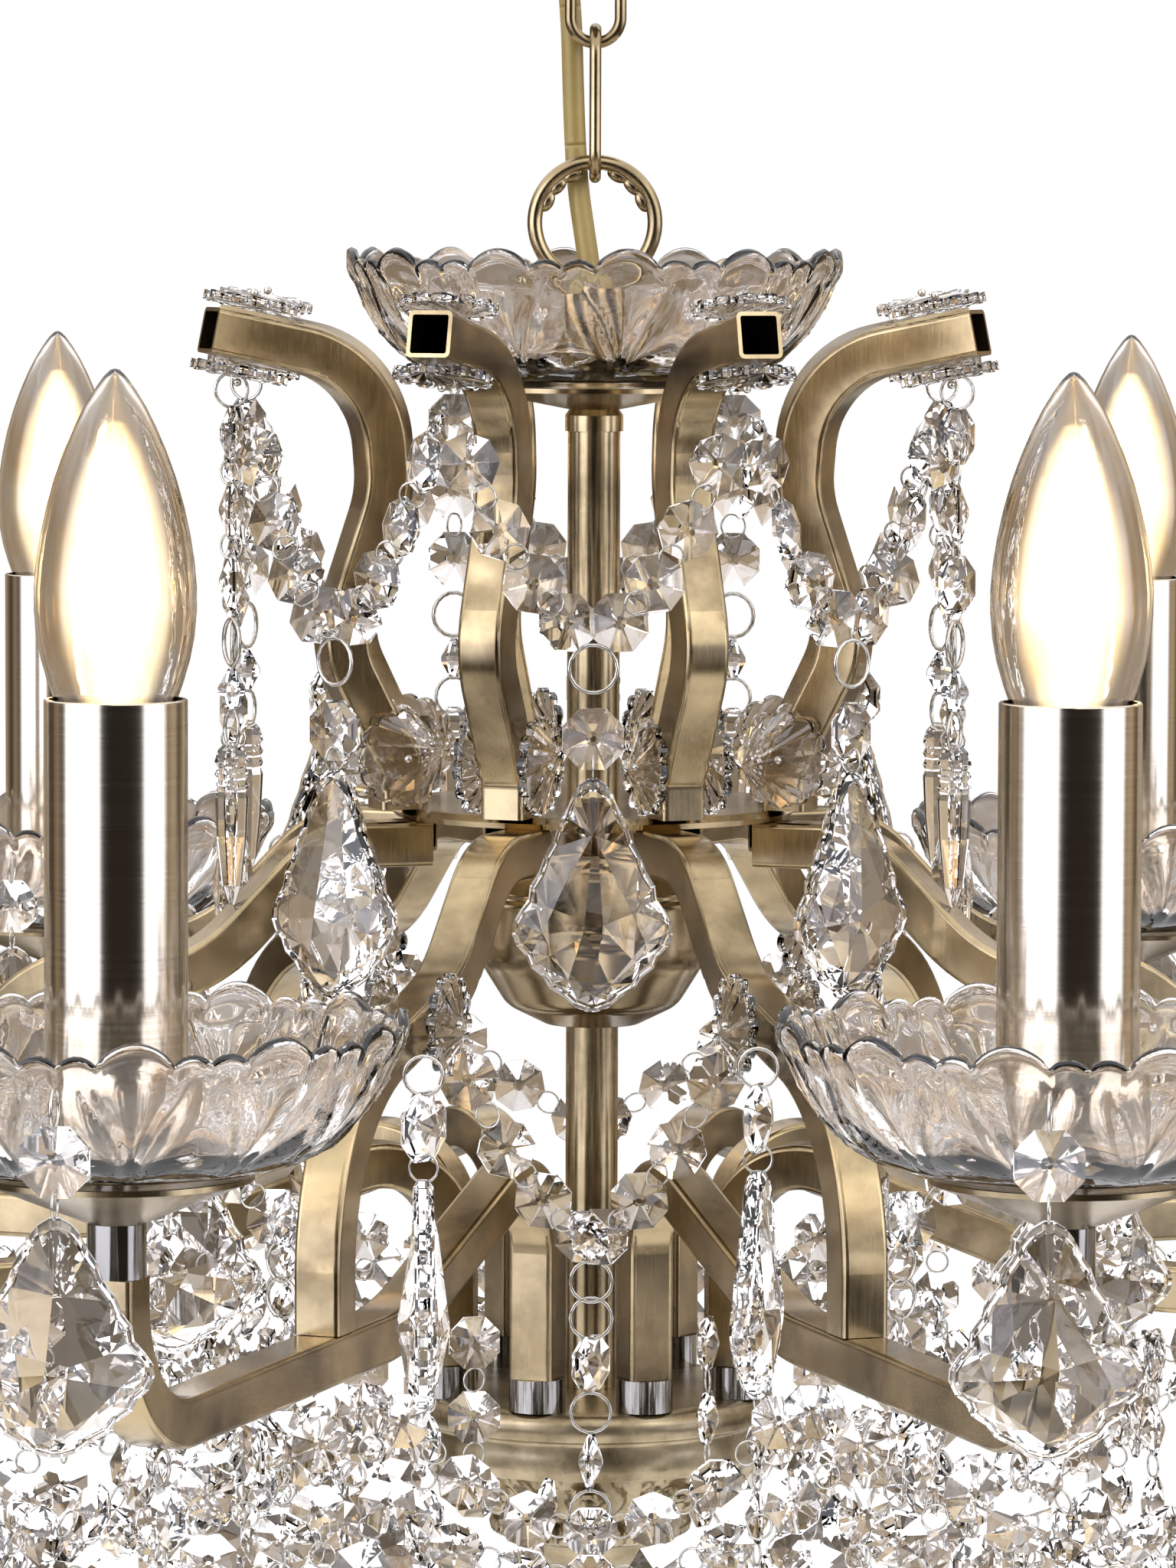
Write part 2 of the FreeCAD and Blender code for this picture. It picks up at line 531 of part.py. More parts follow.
def rosette_pair(middle, normal):
    away = SIZES["tube_half"] + SIZES["rosette_thick"] / 2 + 0.1
    pair = []
    for side in (-1, 1):
        spot = middle + normal * (side * away)
        pair.append(standing_disc(SIZES["rosette_radius"], SIZES["rosette_thick"], spot, normal))
    return pair


rosettes = []
tip_rise = SIZES["tip_height"] - SIZES["scroll_shoulder_height"]
tip_run = SIZES["tip_radius"] - SIZES["scroll_shoulder"]
tip_slope = math.atan2(tip_rise, tip_run)
for angle in SCROLL_ANGLES:
    outward = polar(1, angle)
    along = outward * math.cos(tip_slope) + FreeCAD.Vector(0, 0, math.sin(tip_slope))
    across = polar(1, angle + 90)
    tip = polar(SIZES["tip_radius"], angle, SIZES["tip_height"])
    rosettes += rosette_pair(tip - along * 10, across.cross(along))
    rosettes += rosette_pair(polar(SIZES["foot_radius"] + 1, angle, foot_top + 13.2), across)
for angle in CANDLE_ANGLES:
    rosettes += rosette_pair(polar(124, angle, -329.6), polar(1, angle + 90))
nodes.append(shaped("rosettes", rosettes))


# Cut crystals as plain convex solids: octagons, beads, icicles and flat drops
def octagon(middle, facing):
    """An octagonal crystal whose flat faces point along facing."""
    prism = Part.makePolygon([polar(SIZES["octagon_radius"], 45 * k + 22.5) for k in range(9)])
    solid = Part.Face(prism).extrude(FreeCAD.Vector(0, 0, SIZES["octagon_thick"]))
    solid.translate(FreeCAD.Vector(0, 0, -SIZES["octagon_thick"] / 2))
    turn = FreeCAD.Rotation(FreeCAD.Vector(0, 0, 1), facing)
    solid.Placement = FreeCAD.Placement(middle, turn).multiply(solid.Placement)
    return solid


def bead(middle):
    half = SIZES["bead_length"] / 2
    up, down = FreeCAD.Vector(0, 0, 1), FreeCAD.Vector(0, 0, -1)
    upper = Part.makeCone(SIZES["bead_radius"], 1, half, middle, up)
    return upper.fuse(Part.makeCone(SIZES["bead_radius"], 1, half, middle, down))


def icicle(top):
    down = FreeCAD.Vector(0, 0, -1)
    return Part.makeCone(SIZES["icicle_radius"], 1.2, SIZES["icicle_length"], top, down)


def flat_drop(top, width, length, facing):
    """A kite-shaped pendant: narrow shoulders, widest two thirds down, a blunt point."""
    across = FreeCAD.Vector(-facing.y, facing.x, 0)
    outline = [(0.08, 0), (0.3, -0.3), (0.5, -0.62), (0.34, -0.84), (0.06, -1)]
    right = [top + across * (width * x) + FreeCAD.Vector(0, 0, length * z) for x, z in outline]
    left = [top - across * (width * x) + FreeCAD.Vector(0, 0, length * z) for x, z in reversed(outline)]
    back = facing * (SIZES["drop_thick"] / 2)
    ring = [spot - back for spot in right + left]
    return Part.Face(Part.makePolygon(ring + ring[:1])).extrude(facing * SIZES["drop_thick"])


def swag(start, end, drop):
    """Places of four octagons along a sagging string; the middle of the string stays free."""
    spots = []
    for share in (0.1, 0.32, 0.68, 0.9):
        level = start + (end - start) * share
        level.z -= drop * (1 - (2 * share - 1) ** 2)
        spots.append(level)
    return spots


strands = []
for angle in SCROLL_ANGLES:
    outward = polar(1, angle)
    under_tip = polar(100, angle)
    for height in (-194, -212, -230):
        strands.append(octagon(under_tip + FreeCAD.Vector(0, 0, height), outward))
    strands.append(bead(under_tip + FreeCAD.Vector(0, 0, -257)))
    strands.append(icicle(under_tip + FreeCAD.Vector(0, 0, -267)))


def gap_angles():
    """The angle in the middle of each gap between neighbouring arms, and the gap's width."""
    gaps = []
    for number, angle in enumerate(CANDLE_ANGLES):
        following = CANDLE_ANGLES[(number + 1) % len(CANDLE_ANGLES)]
        width = (following - angle) % 360
        gaps.append((angle + width / 2, width))
    return gaps


lower_strings = []
for (middle_angle, width), scroll_angle in zip(gap_angles(), SCROLL_ANGLES):
    outward = polar(1, middle_angle)
    start, end = polar(101, scroll_angle + 9, -190), polar(101, scroll_angle + 36, -190)
    for spot in swag(start, end, 36):
        strands.append(octagon(spot, outward))
    under_middle = polar(92, middle_angle)
    strands.append(octagon(under_middle + FreeCAD.Vector(0, 0, -262), outward))
    drop_top = under_middle + FreeCAD.Vector(0, 0, -272)
    strands.append(flat_drop(drop_top, SIZES["big_drop_width"], SIZES["big_drop_length"], outward))
    reach = width / 2 - 8
    start, end = polar(124, middle_angle - reach, -340), polar(124, middle_angle + reach, -340)
    for spot in swag(start, end, 40):
        lower_strings.append(octagon(spot, outward))
    for height in (-410, -436, -462, -488):
        lower_strings.append(octagon(polar(112, middle_angle, height), outward))
nodes.append(shaped("upper_crystals", strands))
nodes.append(shaped("lower_garlands", lower_strings))

pendants = []
for angle in CANDLE_ANGLES:
    middle = polar(SIZES["candle_circle"], angle)
    for quarter in range(4):
        direction = polar(1, PENDANT_TURN + 90 * quarter)
        spot = middle + direction * (SIZES["dish_rim"] + 4)
        pendants.append(octagon(spot + FreeCAD.Vector(0, 0, -332), direction))
        drop_top = spot + FreeCAD.Vector(0, 0, -342)
        pendants.append(flat_drop(drop_top, SIZES["dish_drop_width"], SIZES["dish_drop_length"], direction))
    under_arm = polar(SIZES["candle_circle"] - 24, angle)
    pendants.append(octagon(under_arm + FreeCAD.Vector(0, 0, -423), polar(1, angle)))
    drop_top = under_arm + FreeCAD.Vector(0, 0, -433)
    pendants.append(flat_drop(drop_top, 32, 42, polar(1, angle)))
nodes.append(shaped("dish_pendants", pendants))

# The supply cable: straight runs and tangent arcs from the gland past the chain into the ring's stem
CABLE_ROUTE = [(-9.0, 5.5, -48.05), (-8.8, 5.7, -58), (-7.6, 5.6, -71), (-6.1, 5.9, -87), (-5.7, 5.6, -102),
               (-5.2, 5.8, -116), (-4.4, 5.2, -129), (-2.6, 3.2, -141), (-0.8, 0.9, -153), (-0.1, 0.1, -165),
               (0, 0, -177)]


def cable_path(route):
    spots = [FreeCAD.Vector(*spot) for spot in route]
    edges = []
    here = spots[0]
    for before, corner, after in zip(spots, spots[1:], spots[2:]):
        toward, away = corner - before, after - corner
        reach = 0.45 * min(toward.Length, away.Length)
        turn = toward.getAngle(away)
        print("cable bend radius", round(reach / math.tan(turn / 2), 1))
        start = corner - toward.normalize() * reach
        end = corner + away.normalize() * reach
        bulge = ((start + end) * 0.5 - corner).normalize()
        radius = reach / math.tan(turn / 2)
        middle = corner + bulge * (radius / math.cos(turn / 2) - radius)
        edges.append(Part.LineSegment(here, start).toShape())
        edges.append(Part.Arc(start, middle, end).toShape())
        here = end
    edges.append(Part.LineSegment(here, spots[-1]).toShape())
    return Part.Wire(edges)


path = cable_path(CABLE_ROUTE)
first_way = (FreeCAD.Vector(*CABLE_ROUTE[1]) - FreeCAD.Vector(*CABLE_ROUTE[0])).normalize()
section = Part.Wire(Part.makeCircle(SIZES["cable_radius"], FreeCAD.Vector(*CABLE_ROUTE[0]), first_way))
cable = doc.addObject("Part::Feature", "supply_cable")
cable.Shape = path.makePipeShell([section], True, False)
print("cable length", round(path.Length, 1), "volume ratio",
      round(cable.Shape.Volume / (math.pi * SIZES["cable_radius"] ** 2 * path.Length), 4))
nodes.append(cable)

doc.recompute()
for obj in doc.Objects:
    if "Invalid" in obj.State or "Error" in obj.State:
        raise RuntimeError(f"{obj.Label} failed: {obj.State}")
for node in nodes:
    if node.Shape.isNull() or not node.Shape.isValid():
        raise RuntimeError(f"{node.Label} is not a valid shape")
for node in nodes:
    node.Shape.exportStep(f"parts/{node.Label}.step")
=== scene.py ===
import math
import random
import bmesh
import bpy
from mathutils import Matrix, Vector


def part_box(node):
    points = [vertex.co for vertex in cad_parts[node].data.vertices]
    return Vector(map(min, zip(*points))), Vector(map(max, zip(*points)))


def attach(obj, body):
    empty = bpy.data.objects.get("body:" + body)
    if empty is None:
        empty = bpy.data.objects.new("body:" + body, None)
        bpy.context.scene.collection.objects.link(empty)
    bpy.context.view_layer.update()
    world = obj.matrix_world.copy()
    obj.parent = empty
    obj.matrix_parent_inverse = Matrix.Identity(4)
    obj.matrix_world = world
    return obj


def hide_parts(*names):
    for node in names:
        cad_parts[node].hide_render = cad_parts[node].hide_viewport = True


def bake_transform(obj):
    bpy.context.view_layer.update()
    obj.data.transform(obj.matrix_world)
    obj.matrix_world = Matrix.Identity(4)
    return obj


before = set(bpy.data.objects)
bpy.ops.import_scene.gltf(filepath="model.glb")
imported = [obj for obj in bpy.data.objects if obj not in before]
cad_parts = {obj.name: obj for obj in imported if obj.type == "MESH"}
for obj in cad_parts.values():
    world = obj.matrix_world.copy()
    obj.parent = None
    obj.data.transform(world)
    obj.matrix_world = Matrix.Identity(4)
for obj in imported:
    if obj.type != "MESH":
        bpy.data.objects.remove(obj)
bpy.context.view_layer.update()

# The view: a long lens, level with the glass bowl's rim and tipped down a little, so that
# the chain leaves at the top and the lower strings leave at the bottom.
MM = 0.001
EYE_DISTANCE = 1.757
EYE_HEIGHT = -0.140
LENS_MM = 158
SENSOR_MM = 36
EYE_TURNS = (85.4, -0.2, 0.057)
camera_data = bpy.data.cameras.new("camera")
camera_data.lens = LENS_MM
camera_data.sensor_width = SENSOR_MM
camera = bpy.data.objects.new("camera", camera_data)
camera.location = (0, -EYE_DISTANCE, EYE_HEIGHT)
camera.rotation_euler = [math.radians(turn) for turn in EYE_TURNS]
bpy.context.scene.collection.objects.link(camera)
bpy.context.scene.camera = camera

# The supply cable: a round three-core lead with a smooth olive-gold sheath. It leaves its
# gland, runs down behind the chain and turns through the ring into the hollow stem.
CABLE_DIAMETER = 5.5 * MM
CABLE_SIDES = 20
CABLE_ROUTE = [(-9.0, 5.5, -48.05), (-8.8, 5.7, -58), (-7.6, 5.6, -71), (-6.1, 5.9, -87), (-5.7, 5.6, -102),
               (-5.2, 5.8, -116), (-4.4, 5.2, -129), (-2.6, 3.2, -141), (-0.8, 0.9, -153),
               (-0.1, 0.1, -165), (0, 0, -177)]


def linear(code):
    """An sRGB hex colour as the linear RGBA that a shader takes."""
    channels = [int(code[k:k + 2], 16) / 255 for k in (1, 3, 5)]
    return [c / 12.92 if c <= 0.04045 else ((c + 0.055) / 1.055) ** 2.4 for c in channels] + [1.0]


def node(material, kind, settings=None, **links):
    """Add a shader node; settings go to its inputs and properties, links join sockets to it."""
    made = material.node_tree.nodes.new(kind)
    for name, value in (settings or {}).items():
        if isinstance(name, int) or name in made.inputs:
            made.inputs[name].default_value = value
        else:
            setattr(made, name, value)
    for name, source in links.items():
        material.node_tree.links.new(source, made.inputs[name.replace("_", " ")])
    return made


def new_material(name, **sockets):
    """A material with one Principled shader whose sockets take the values given."""
    material = bpy.data.materials.new(name)
    material.use_nodes = True
    shader = material.node_tree.nodes["Principled BSDF"]
    for socket, value in sockets.items():
        shader.inputs[socket.replace("_", " ")].default_value = value
    return material, shader


def wire_up(material, source, target):
    material.node_tree.links.new(source, target)


def add_piece(name, mesh, material, body):
    piece = bpy.data.objects.new(name, mesh)
    bpy.context.scene.collection.objects.link(piece)
    mesh.materials.append(material)
    if body:
        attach(piece, body)
    return piece


def mottled(name, dark, light, settings, **sockets):
    """A material whose colour drifts between two tones; gives it, its shader and the pattern."""
    material, shader = new_material(name, **sockets)
    place = node(material, "ShaderNodeTexCoord")
    pattern = node(material, "ShaderNodeTexNoise", settings, Vector=place.outputs["Object"])
    tone = node(material, "ShaderNodeValToRGB", Fac=pattern.outputs["Fac"])
    for element, colour in zip(tone.color_ramp.elements, (dark, light)):
        element.color = linear(colour)
    wire_up(material, tone.outputs["Color"], shader.inputs["Base Color"])
    return material, shader, pattern


# Moulded PVC, satin, its olive gold drifting a little every centimetre, with a fine grain
cable_sheath, sheath_shader, _ = mottled(
    "pvc_cable_sheath", "#857035", "#B39B5C", {"Scale": 90.0, "Detail": 4.0}, Roughness=0.38, IOR=1.5)
sheath_place = node(cable_sheath, "ShaderNodeTexCoord")
sheath_grain = node(cable_sheath, "ShaderNodeTexNoise", {"Scale": 1400.0},
                    Vector=sheath_place.outputs["Object"])
sheath_bump = node(cable_sheath, "ShaderNodeBump", {"Strength": 0.25, "Distance": 0.00008},
                   Height=sheath_grain.outputs["Fac"])
wire_up(cable_sheath, sheath_bump.outputs["Normal"], sheath_shader.inputs["Normal"])

route_curve = bpy.data.curves.new("cable_route", "CURVE")
route_curve.dimensions = "3D"
route_curve.resolution_u = 12
route_spline = route_curve.splines.new("NURBS")
route_spline.points.add(len(CABLE_ROUTE) - 1)
for point, spot in zip(route_spline.points, CABLE_ROUTE):
    point.co = (spot[0] * MM, spot[1] * MM, spot[2] * MM, 1)
route_spline.order_u = 3
route_spline.use_endpoint_u = True
route_object = bpy.data.objects.new("cable_route", route_curve)
bpy.context.scene.collection.objects.link(route_object)
route_mesh = bpy.data.meshes.new_from_object(route_object)
route_points = [vertex.co.copy() for vertex in route_mesh.vertices]
bpy.data.objects.remove(route_object)


def mesh_from(name, bm):
    """A mesh made from a finished bmesh, which is then let go."""
    mesh = bpy.data.meshes.new(name)
    bm.to_mesh(mesh)
    bm.free()
    return mesh


def smooth_all(bm):
    for face in bm.faces:
        face.smooth = True


def grow(bm, edges):
    """Extrude a closed line of edges; gives the new line's vertices and its edges."""
    grown = bmesh.ops.extrude_edge_only(bm, edges=edges)["geom"]
    verts = [item for item in grown if isinstance(item, bmesh.types.BMVert)]
    return verts, [item for item in grown if isinstance(item, bmesh.types.BMEdge)
                   and all(vertex in verts for vertex in item.verts)]


def tube_along(points, radius, sides):
    """A closed round tube that follows the points."""
    bm = bmesh.new()
    ring = None
    for k, point in enumerate(points):
        ahead = points[min(k + 1, len(points) - 1)] - points[max(k - 1, 0)]
        turn = Vector((0, 0, -1)).rotation_difference(ahead).to_matrix().to_4x4()
        if ring is None:
            made = bmesh.ops.create_circle(bm, cap_ends=True, segments=sides, radius=radius,
                                           matrix=Matrix.Translation(point) @ turn)
            ring = made["verts"]
            edges = list({edge for vertex in ring for edge in vertex.link_edges})
            last = Matrix.Translation(point) @ turn
            continue
        ring, edges = grow(bm, edges)
        here = Matrix.Translation(point) @ turn
        bmesh.ops.transform(bm, matrix=here @ last.inverted(), verts=ring)
        last = here
    bmesh.ops.contextual_create(bm, geom=edges)
    bmesh.ops.recalc_face_normals(bm, faces=bm.faces)
    for face in bm.faces:
        face.smooth = len(face.verts) == 4
    return bm


# The cable is made in three stretches, cut near the hinges of the chain. A stretch
# has the body above, the body below, its lower end and the two heights given for its bend.
CABLE_STRETCHES = [("root", "upper_link", -83, -49, -69),
                   ("upper_link", "lower_link", -118, -84, -101),
                   ("lower_link", "chandelier", -200, -119, -134)]
cable_start = 0
for number, (above, below, low, bend_from, bend_to) in enumerate(CABLE_STRETCHES, 1):
    cable_end = len(route_points) - 1
    while route_points[cable_end - 1].z < low * MM:
        cable_end -= 1
    stretch = route_points[cable_start:cable_end + 1]
    mesh = mesh_from(f"supply_cable_{number}", tube_along(stretch, CABLE_DIAMETER / 2, CABLE_SIDES))
    cable = add_piece(f"supply_cable_{number}", mesh, cable_sheath, None)
    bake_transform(cable)
    if number == 1:
        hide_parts("supply_cable")
    cable_start = cable_end

# Ceiling bracket and screws: zinc-plated pressed steel, bright and slightly blue-grey, with a
# fine spangle. They sit inside the rose and carry the whole weight.
zinc, zinc_shader = new_material("zinc_plated_steel", Metallic=1.0, Roughness=0.36)
zinc_place = node(zinc, "ShaderNodeTexCoord")
spangle = node(zinc, "ShaderNodeTexVoronoi", {"Scale": 260.0}, Vector=zinc_place.outputs["Object"])
zinc_tone = node(zinc, "ShaderNodeValToRGB", Fac=spangle.outputs["Distance"])
zinc_tone.color_ramp.elements[0].color = linear("#B7BBBF")
zinc_tone.color_ramp.elements[1].color = linear("#D6D8DA")
wire_up(zinc, zinc_tone.outputs["Color"], zinc_shader.inputs["Base Color"])


def finish_nodes(material, *names):
    """Give carried-over parts their finish."""
    for name in names:
        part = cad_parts[name]
        part = bpy.data.objects[part] if isinstance(part, str) else part
        part.data.materials.clear()
        part.data.materials.append(material)


finish_nodes(zinc, "ceiling_plate", "ceiling_screws")

# Antique brass: brass-plated steel, brushed, darkened and lacquered. The eye sees a satin
# greyed gold that goes brown where the stain has stayed, with fine rub marks along it.
def brass_finish(name, dark, light, roughness, stain_mm, rub_mm):
    """Satin metal with a stain some millimetres across and fine rub marks."""
    metal, shader = new_material(name, Metallic=1.0, Anisotropic=0.35)
    place = node(metal, "ShaderNodeTexCoord")
    stain = node(metal, "ShaderNodeTexNoise", {"Scale": 1000.0 / stain_mm, "Detail": 5.0, "Roughness": 0.6},
                 Vector=place.outputs["Object"])
    tone = node(metal, "ShaderNodeValToRGB", Fac=stain.outputs["Fac"])
    tone.color_ramp.elements[0].position = 0.32
    tone.color_ramp.elements[0].color = linear(dark)
    tone.color_ramp.elements[1].position = 0.62
    tone.color_ramp.elements[1].color = linear(light)
    wire_up(metal, tone.outputs["Color"], shader.inputs["Base Color"])
    stretch = node(metal, "ShaderNodeMapping", {"Scale": (1.0, 1.0, 0.06)}, Vector=place.outputs["Object"])
    rub = node(metal, "ShaderNodeTexNoise", {"Scale": 1000.0 / rub_mm, "Detail": 3.0},
               Vector=stretch.outputs["Vector"])
    spread = node(metal, "ShaderNodeMapRange", {"To Min": roughness - 0.06, "To Max": roughness + 0.09},
                  Value=rub.outputs["Fac"])
    wire_up(metal, spread.outputs["Result"], shader.inputs["Roughness"])
    bump = node(metal, "ShaderNodeBump", {"Strength": 0.08, "Distance": 0.00002}, Height=rub.outputs["Fac"])
    wire_up(metal, bump.outputs["Normal"], shader.inputs["Normal"])
    return metal


antique_brass = brass_finish("antique_brass_brushed", "#6E6049", "#B3A07C", 0.19, 34, 0.5)
dark_brass = brass_finish("antique_brass_cast", "#74664C", "#AFA083", 0.28, 16, 0.8)
finish_nodes(antique_brass, "ceiling_rose", "ceiling_loop", "upper_link", "lower_link", "hanging_ring")

# The cable gland: a moulded plastic strain relief in a brass colour, its nose a soft collar
# that grips the sheath.
gland_plastic = mottled("moulded_nylon_gland", "#6E5B30", "#7F6A3B", {"Scale": 700.0},
                        Roughness=0.42, IOR=1.53)[0]
finish_nodes(gland_plastic, "cable_gland")

# The column: brushed brass tube above and below the collar, the spun saucer under the bowl,
# and the spun hub ball. The long tubes are brushed along their length.
finish_nodes(antique_brass, "top_saucer", "upper_column", "lower_column", "hub_ball", "collar")

# Upper scrolls, stays and candle arms: square steel tube, mandrel bent, brass plated and
# brushed, with soft corners and open ends.
finish_nodes(antique_brass, "upper_scrolls", "stays", *[f"candle_arm_{k}" for k in range(1, 9)])

# The candles' ferrules and the arms' sockets: turned brass, nickel plated and polished, so
# they mirror the room darkly beside the satin arms.
nickel, nickel_shader, nickel_haze = mottled("polished_black_nickel", "#86827C", "#A5A19A",
                                             {"Scale": 120.0, "Detail": 4.0}, Metallic=1.0)
nickel_spread = node(nickel, "ShaderNodeMapRange", {"To Min": 0.07, "To Max": 0.16},
                     Value=nickel_haze.outputs["Fac"])
wire_up(nickel, nickel_spread.outputs["Result"], nickel_shader.inputs["Roughness"])
finish_nodes(nickel, "arm_sockets", "holder_ferrules")
finish_nodes(antique_brass, "candle_saucers")

# The lampholders: heat-proof moulded plastic that each bulb screws into. They are off-white
# and matt, and out of sight inside the candle tubes.
holder_plastic = mottled("moulded_pbt_lampholder", "#E2DCCB", "#EFEADC", {"Scale": 500.0},
                         Roughness=0.55, IOR=1.57)[0]
finish_nodes(holder_plastic, "lampholders")

# Candle tubes: thin brass tube brushed on a lathe, so the marks run round it and draw the
# reflections out into upright bands.
lathe_brushed, lathe_shader = new_material("lathe_brushed_brass", Metallic=1.0, Anisotropic=0.6)
lathe_place = node(lathe_brushed, "ShaderNodeTexCoord")
lathe_stretch = node(lathe_brushed, "ShaderNodeMapping", {"Scale": (12.0, 12.0, 2600.0)},
                     Vector=lathe_place.outputs["Object"])
lathe_lines = node(lathe_brushed, "ShaderNodeTexNoise", {"Scale": 1.0, "Detail": 4.0, "Roughness": 0.7},
                   Vector=lathe_stretch.outputs["Vector"])
lathe_tone = node(lathe_brushed, "ShaderNodeValToRGB", Fac=lathe_lines.outputs["Fac"])
lathe_tone.color_ramp.elements[0].position = 0.3
lathe_tone.color_ramp.elements[0].color = linear("#C2B7A4")
lathe_tone.color_ramp.elements[1].position = 0.7
lathe_tone.color_ramp.elements[1].color = linear("#D4CAB8")
wire_up(lathe_brushed, lathe_tone.outputs["Color"], lathe_shader.inputs["Base Color"])
lathe_spread = node(lathe_brushed, "ShaderNodeMapRange", {"To Min": 0.10, "To Max": 0.17},
                    Value=lathe_lines.outputs["Fac"])
wire_up(lathe_brushed, lathe_spread.outputs["Result"], lathe_shader.inputs["Roughness"])
lathe_bump = node(lathe_brushed, "ShaderNodeBump", {"Strength": 0.1, "Distance": 0.00001},
                  Height=lathe_lines.outputs["Fac"])
wire_up(lathe_brushed, lathe_bump.outputs["Normal"], lathe_shader.inputs["Normal"])
finish_nodes(lathe_brushed, *[f"candle_tube_{k}" for k in range(1, 9)])

# Pressed glass dishes: soda glass pressed in a mould and fire-polished, faintly warm. The rim
# has twelve large arches with two small lobes between them, over fans of cut leaves.
DISH_SCALLOPS = 12
STEPS_A_SCALLOP = 28
DISH_OUTLINE = [(6.0, 0.0), (14.0, 0.0), (23.0, 0.1), (25.5, 1.2), (31.0, 1.4), (37.0, 2.2), (43.0, 3.9),
                (48.0, 6.6), (52.0, 9.9), (55.0, 13.4), (57.3, 17.0), (59.1, 20.6), (60.5, 24.2),
                (61.6, 27.6), (62.5, 30.6), (63.1, 32.8), (63.2, 34.6), (62.2, 35.2), (61.0, 34.6),
                (60.2, 32.0), (58.6, 26.6), (56.4, 21.0), (53.4, 15.6), (49.4, 10.8), (44.0, 7.2),
                (37.0, 5.2), (28.0, 4.3), (16.0, 3.8), (6.0, 3.6)]
DISH_HEIGHT = 35.2
DISH_BEND_HEIGHT = 14.0
ARCH_DROP = 4.6
LOBE_RISE = 1.9
ARCH_ROUNDNESS = 0.7
SCALLOP_WIDTH = 33.0
LEAF_DEPTH = 1.5
LEAF_CUTS = 3.5
LEAF_FOOT = 3.5


def scallop_drop(share):
    """How far the rim lies below its highest arch, at a share of one scallop's width."""
    place = share % 1.0
    if place < 0.5:
        return ARCH_DROP * (1 - math.sin(math.pi * place / 0.5) ** ARCH_ROUNDNESS)
    lobe = (place - 0.5) * 4 % 1.0
    return ARCH_DROP - LOBE_RISE * math.sin(math.pi * lobe) ** ARCH_ROUNDNESS


def leaf_depth(share, height):
    """The depth of the leaf cuts, which fan up from a point low under each arch."""
    across = ((share + 0.25) % 1.0 - 0.5) * SCALLOP_WIDTH
    above = height - LEAF_FOOT
    reach = math.hypot(across, above)
    if reach < 2.0 or above < -1.0:
        return 0.0
    lean = math.atan2(across, max(above, 0.01))
    window = min(1.0, (reach - 2.0) / 3.0) * max(0.0, min(1.0, (DISH_HEIGHT - 5.0 - height) / 4.0))
    return LEAF_DEPTH * window * abs(math.cos(lean * LEAF_CUTS)) ** 0.8


def dish_mesh(name):
    """Spin the dish's wall, then press the scallops and the cut leaves into it."""
    bm = bmesh.new()
    wall = []
    for (r, z), (next_r, next_z) in zip(DISH_OUTLINE, DISH_OUTLINE[1:] + DISH_OUTLINE[:1]):
        wall.append((r, z))
        if r < next_r and r > 37:
            wall.append(((r + next_r) / 2, (z + next_z) / 2))
    outline = [bm.verts.new((r, 0, z)) for r, z in wall]
    edges = [bm.edges.new(pair) for pair in zip(outline, outline[1:] + outline[:1])]
    bmesh.ops.spin(bm, geom=outline + edges, cent=(0, 0, 0), axis=(0, 0, 1), angle=math.tau,
                   steps=DISH_SCALLOPS * STEPS_A_SCALLOP, use_merge=True)
    bmesh.ops.recalc_face_normals(bm, faces=bm.faces)
    for vertex in bm.verts:
        radius = math.hypot(vertex.co.x, vertex.co.y)
        share = math.atan2(vertex.co.y, vertex.co.x) / math.tau * DISH_SCALLOPS
        height = vertex.co.z
        lift = max(0.0, (height - DISH_BEND_HEIGHT) / (DISH_HEIGHT - DISH_BEND_HEIGHT))
        outer = vertex.normal.x * vertex.co.x + vertex.normal.y * vertex.co.y > 0 and radius > 24
        push = -leaf_depth(share, height) if outer and height < DISH_HEIGHT - 1.5 else 0.0
        vertex.co.x *= 1 + push / radius
        vertex.co.y *= 1 + push / radius
        vertex.co.z -= lift ** 2 * scallop_drop(share)
    smooth_all(bm)
    return mesh_from(name, bm)


def glass_finish(name, tint, roughness, ripple_mm, ripple_depth_mm):
    """Clear glass with a faint tint and a slight ripple on its skin."""
    glass, shader = new_material(name, Roughness=roughness, IOR=1.52)
    shader.inputs["Transmission Weight"].default_value = 1.0
    place = node(glass, "ShaderNodeTexCoord")
    ripple = node(glass, "ShaderNodeTexNoise", {"Scale": 1000.0 / ripple_mm, "Detail": 2.0},
                  Vector=place.outputs["Object"])
    bump = node(glass, "ShaderNodeBump", {"Strength": 0.5, "Distance": ripple_depth_mm * MM},
                Height=ripple.outputs["Fac"])
    wire_up(glass, bump.outputs["Normal"], shader.inputs["Normal"])
    tone = node(glass, "ShaderNodeValToRGB", Fac=ripple.outputs["Fac"])
    tone.color_ramp.elements[0].position = 0.35
    tone.color_ramp.elements[0].color = linear(tint)
    tone.color_ramp.elements[1].position = 0.6
    tone.color_ramp.elements[1].color = linear("#FFFFFF")
    wire_up(glass, tone.outputs["Color"], shader.inputs["Base Color"])
    return glass


# Fire-polished glass: clear and warm where it is thick, its skin rippling every 5 mm
pressed_glass = glass_finish("pressed_soda_glass", "#F6E9DC", 0.02, 5.0, 0.12)
dish_pattern = dish_mesh("glass_dish")


def middle(name):
    low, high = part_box(name)
    return Vector(((low.x + high.x) / 2, (low.y + high.y) / 2, (low.z + high.z) / 2))


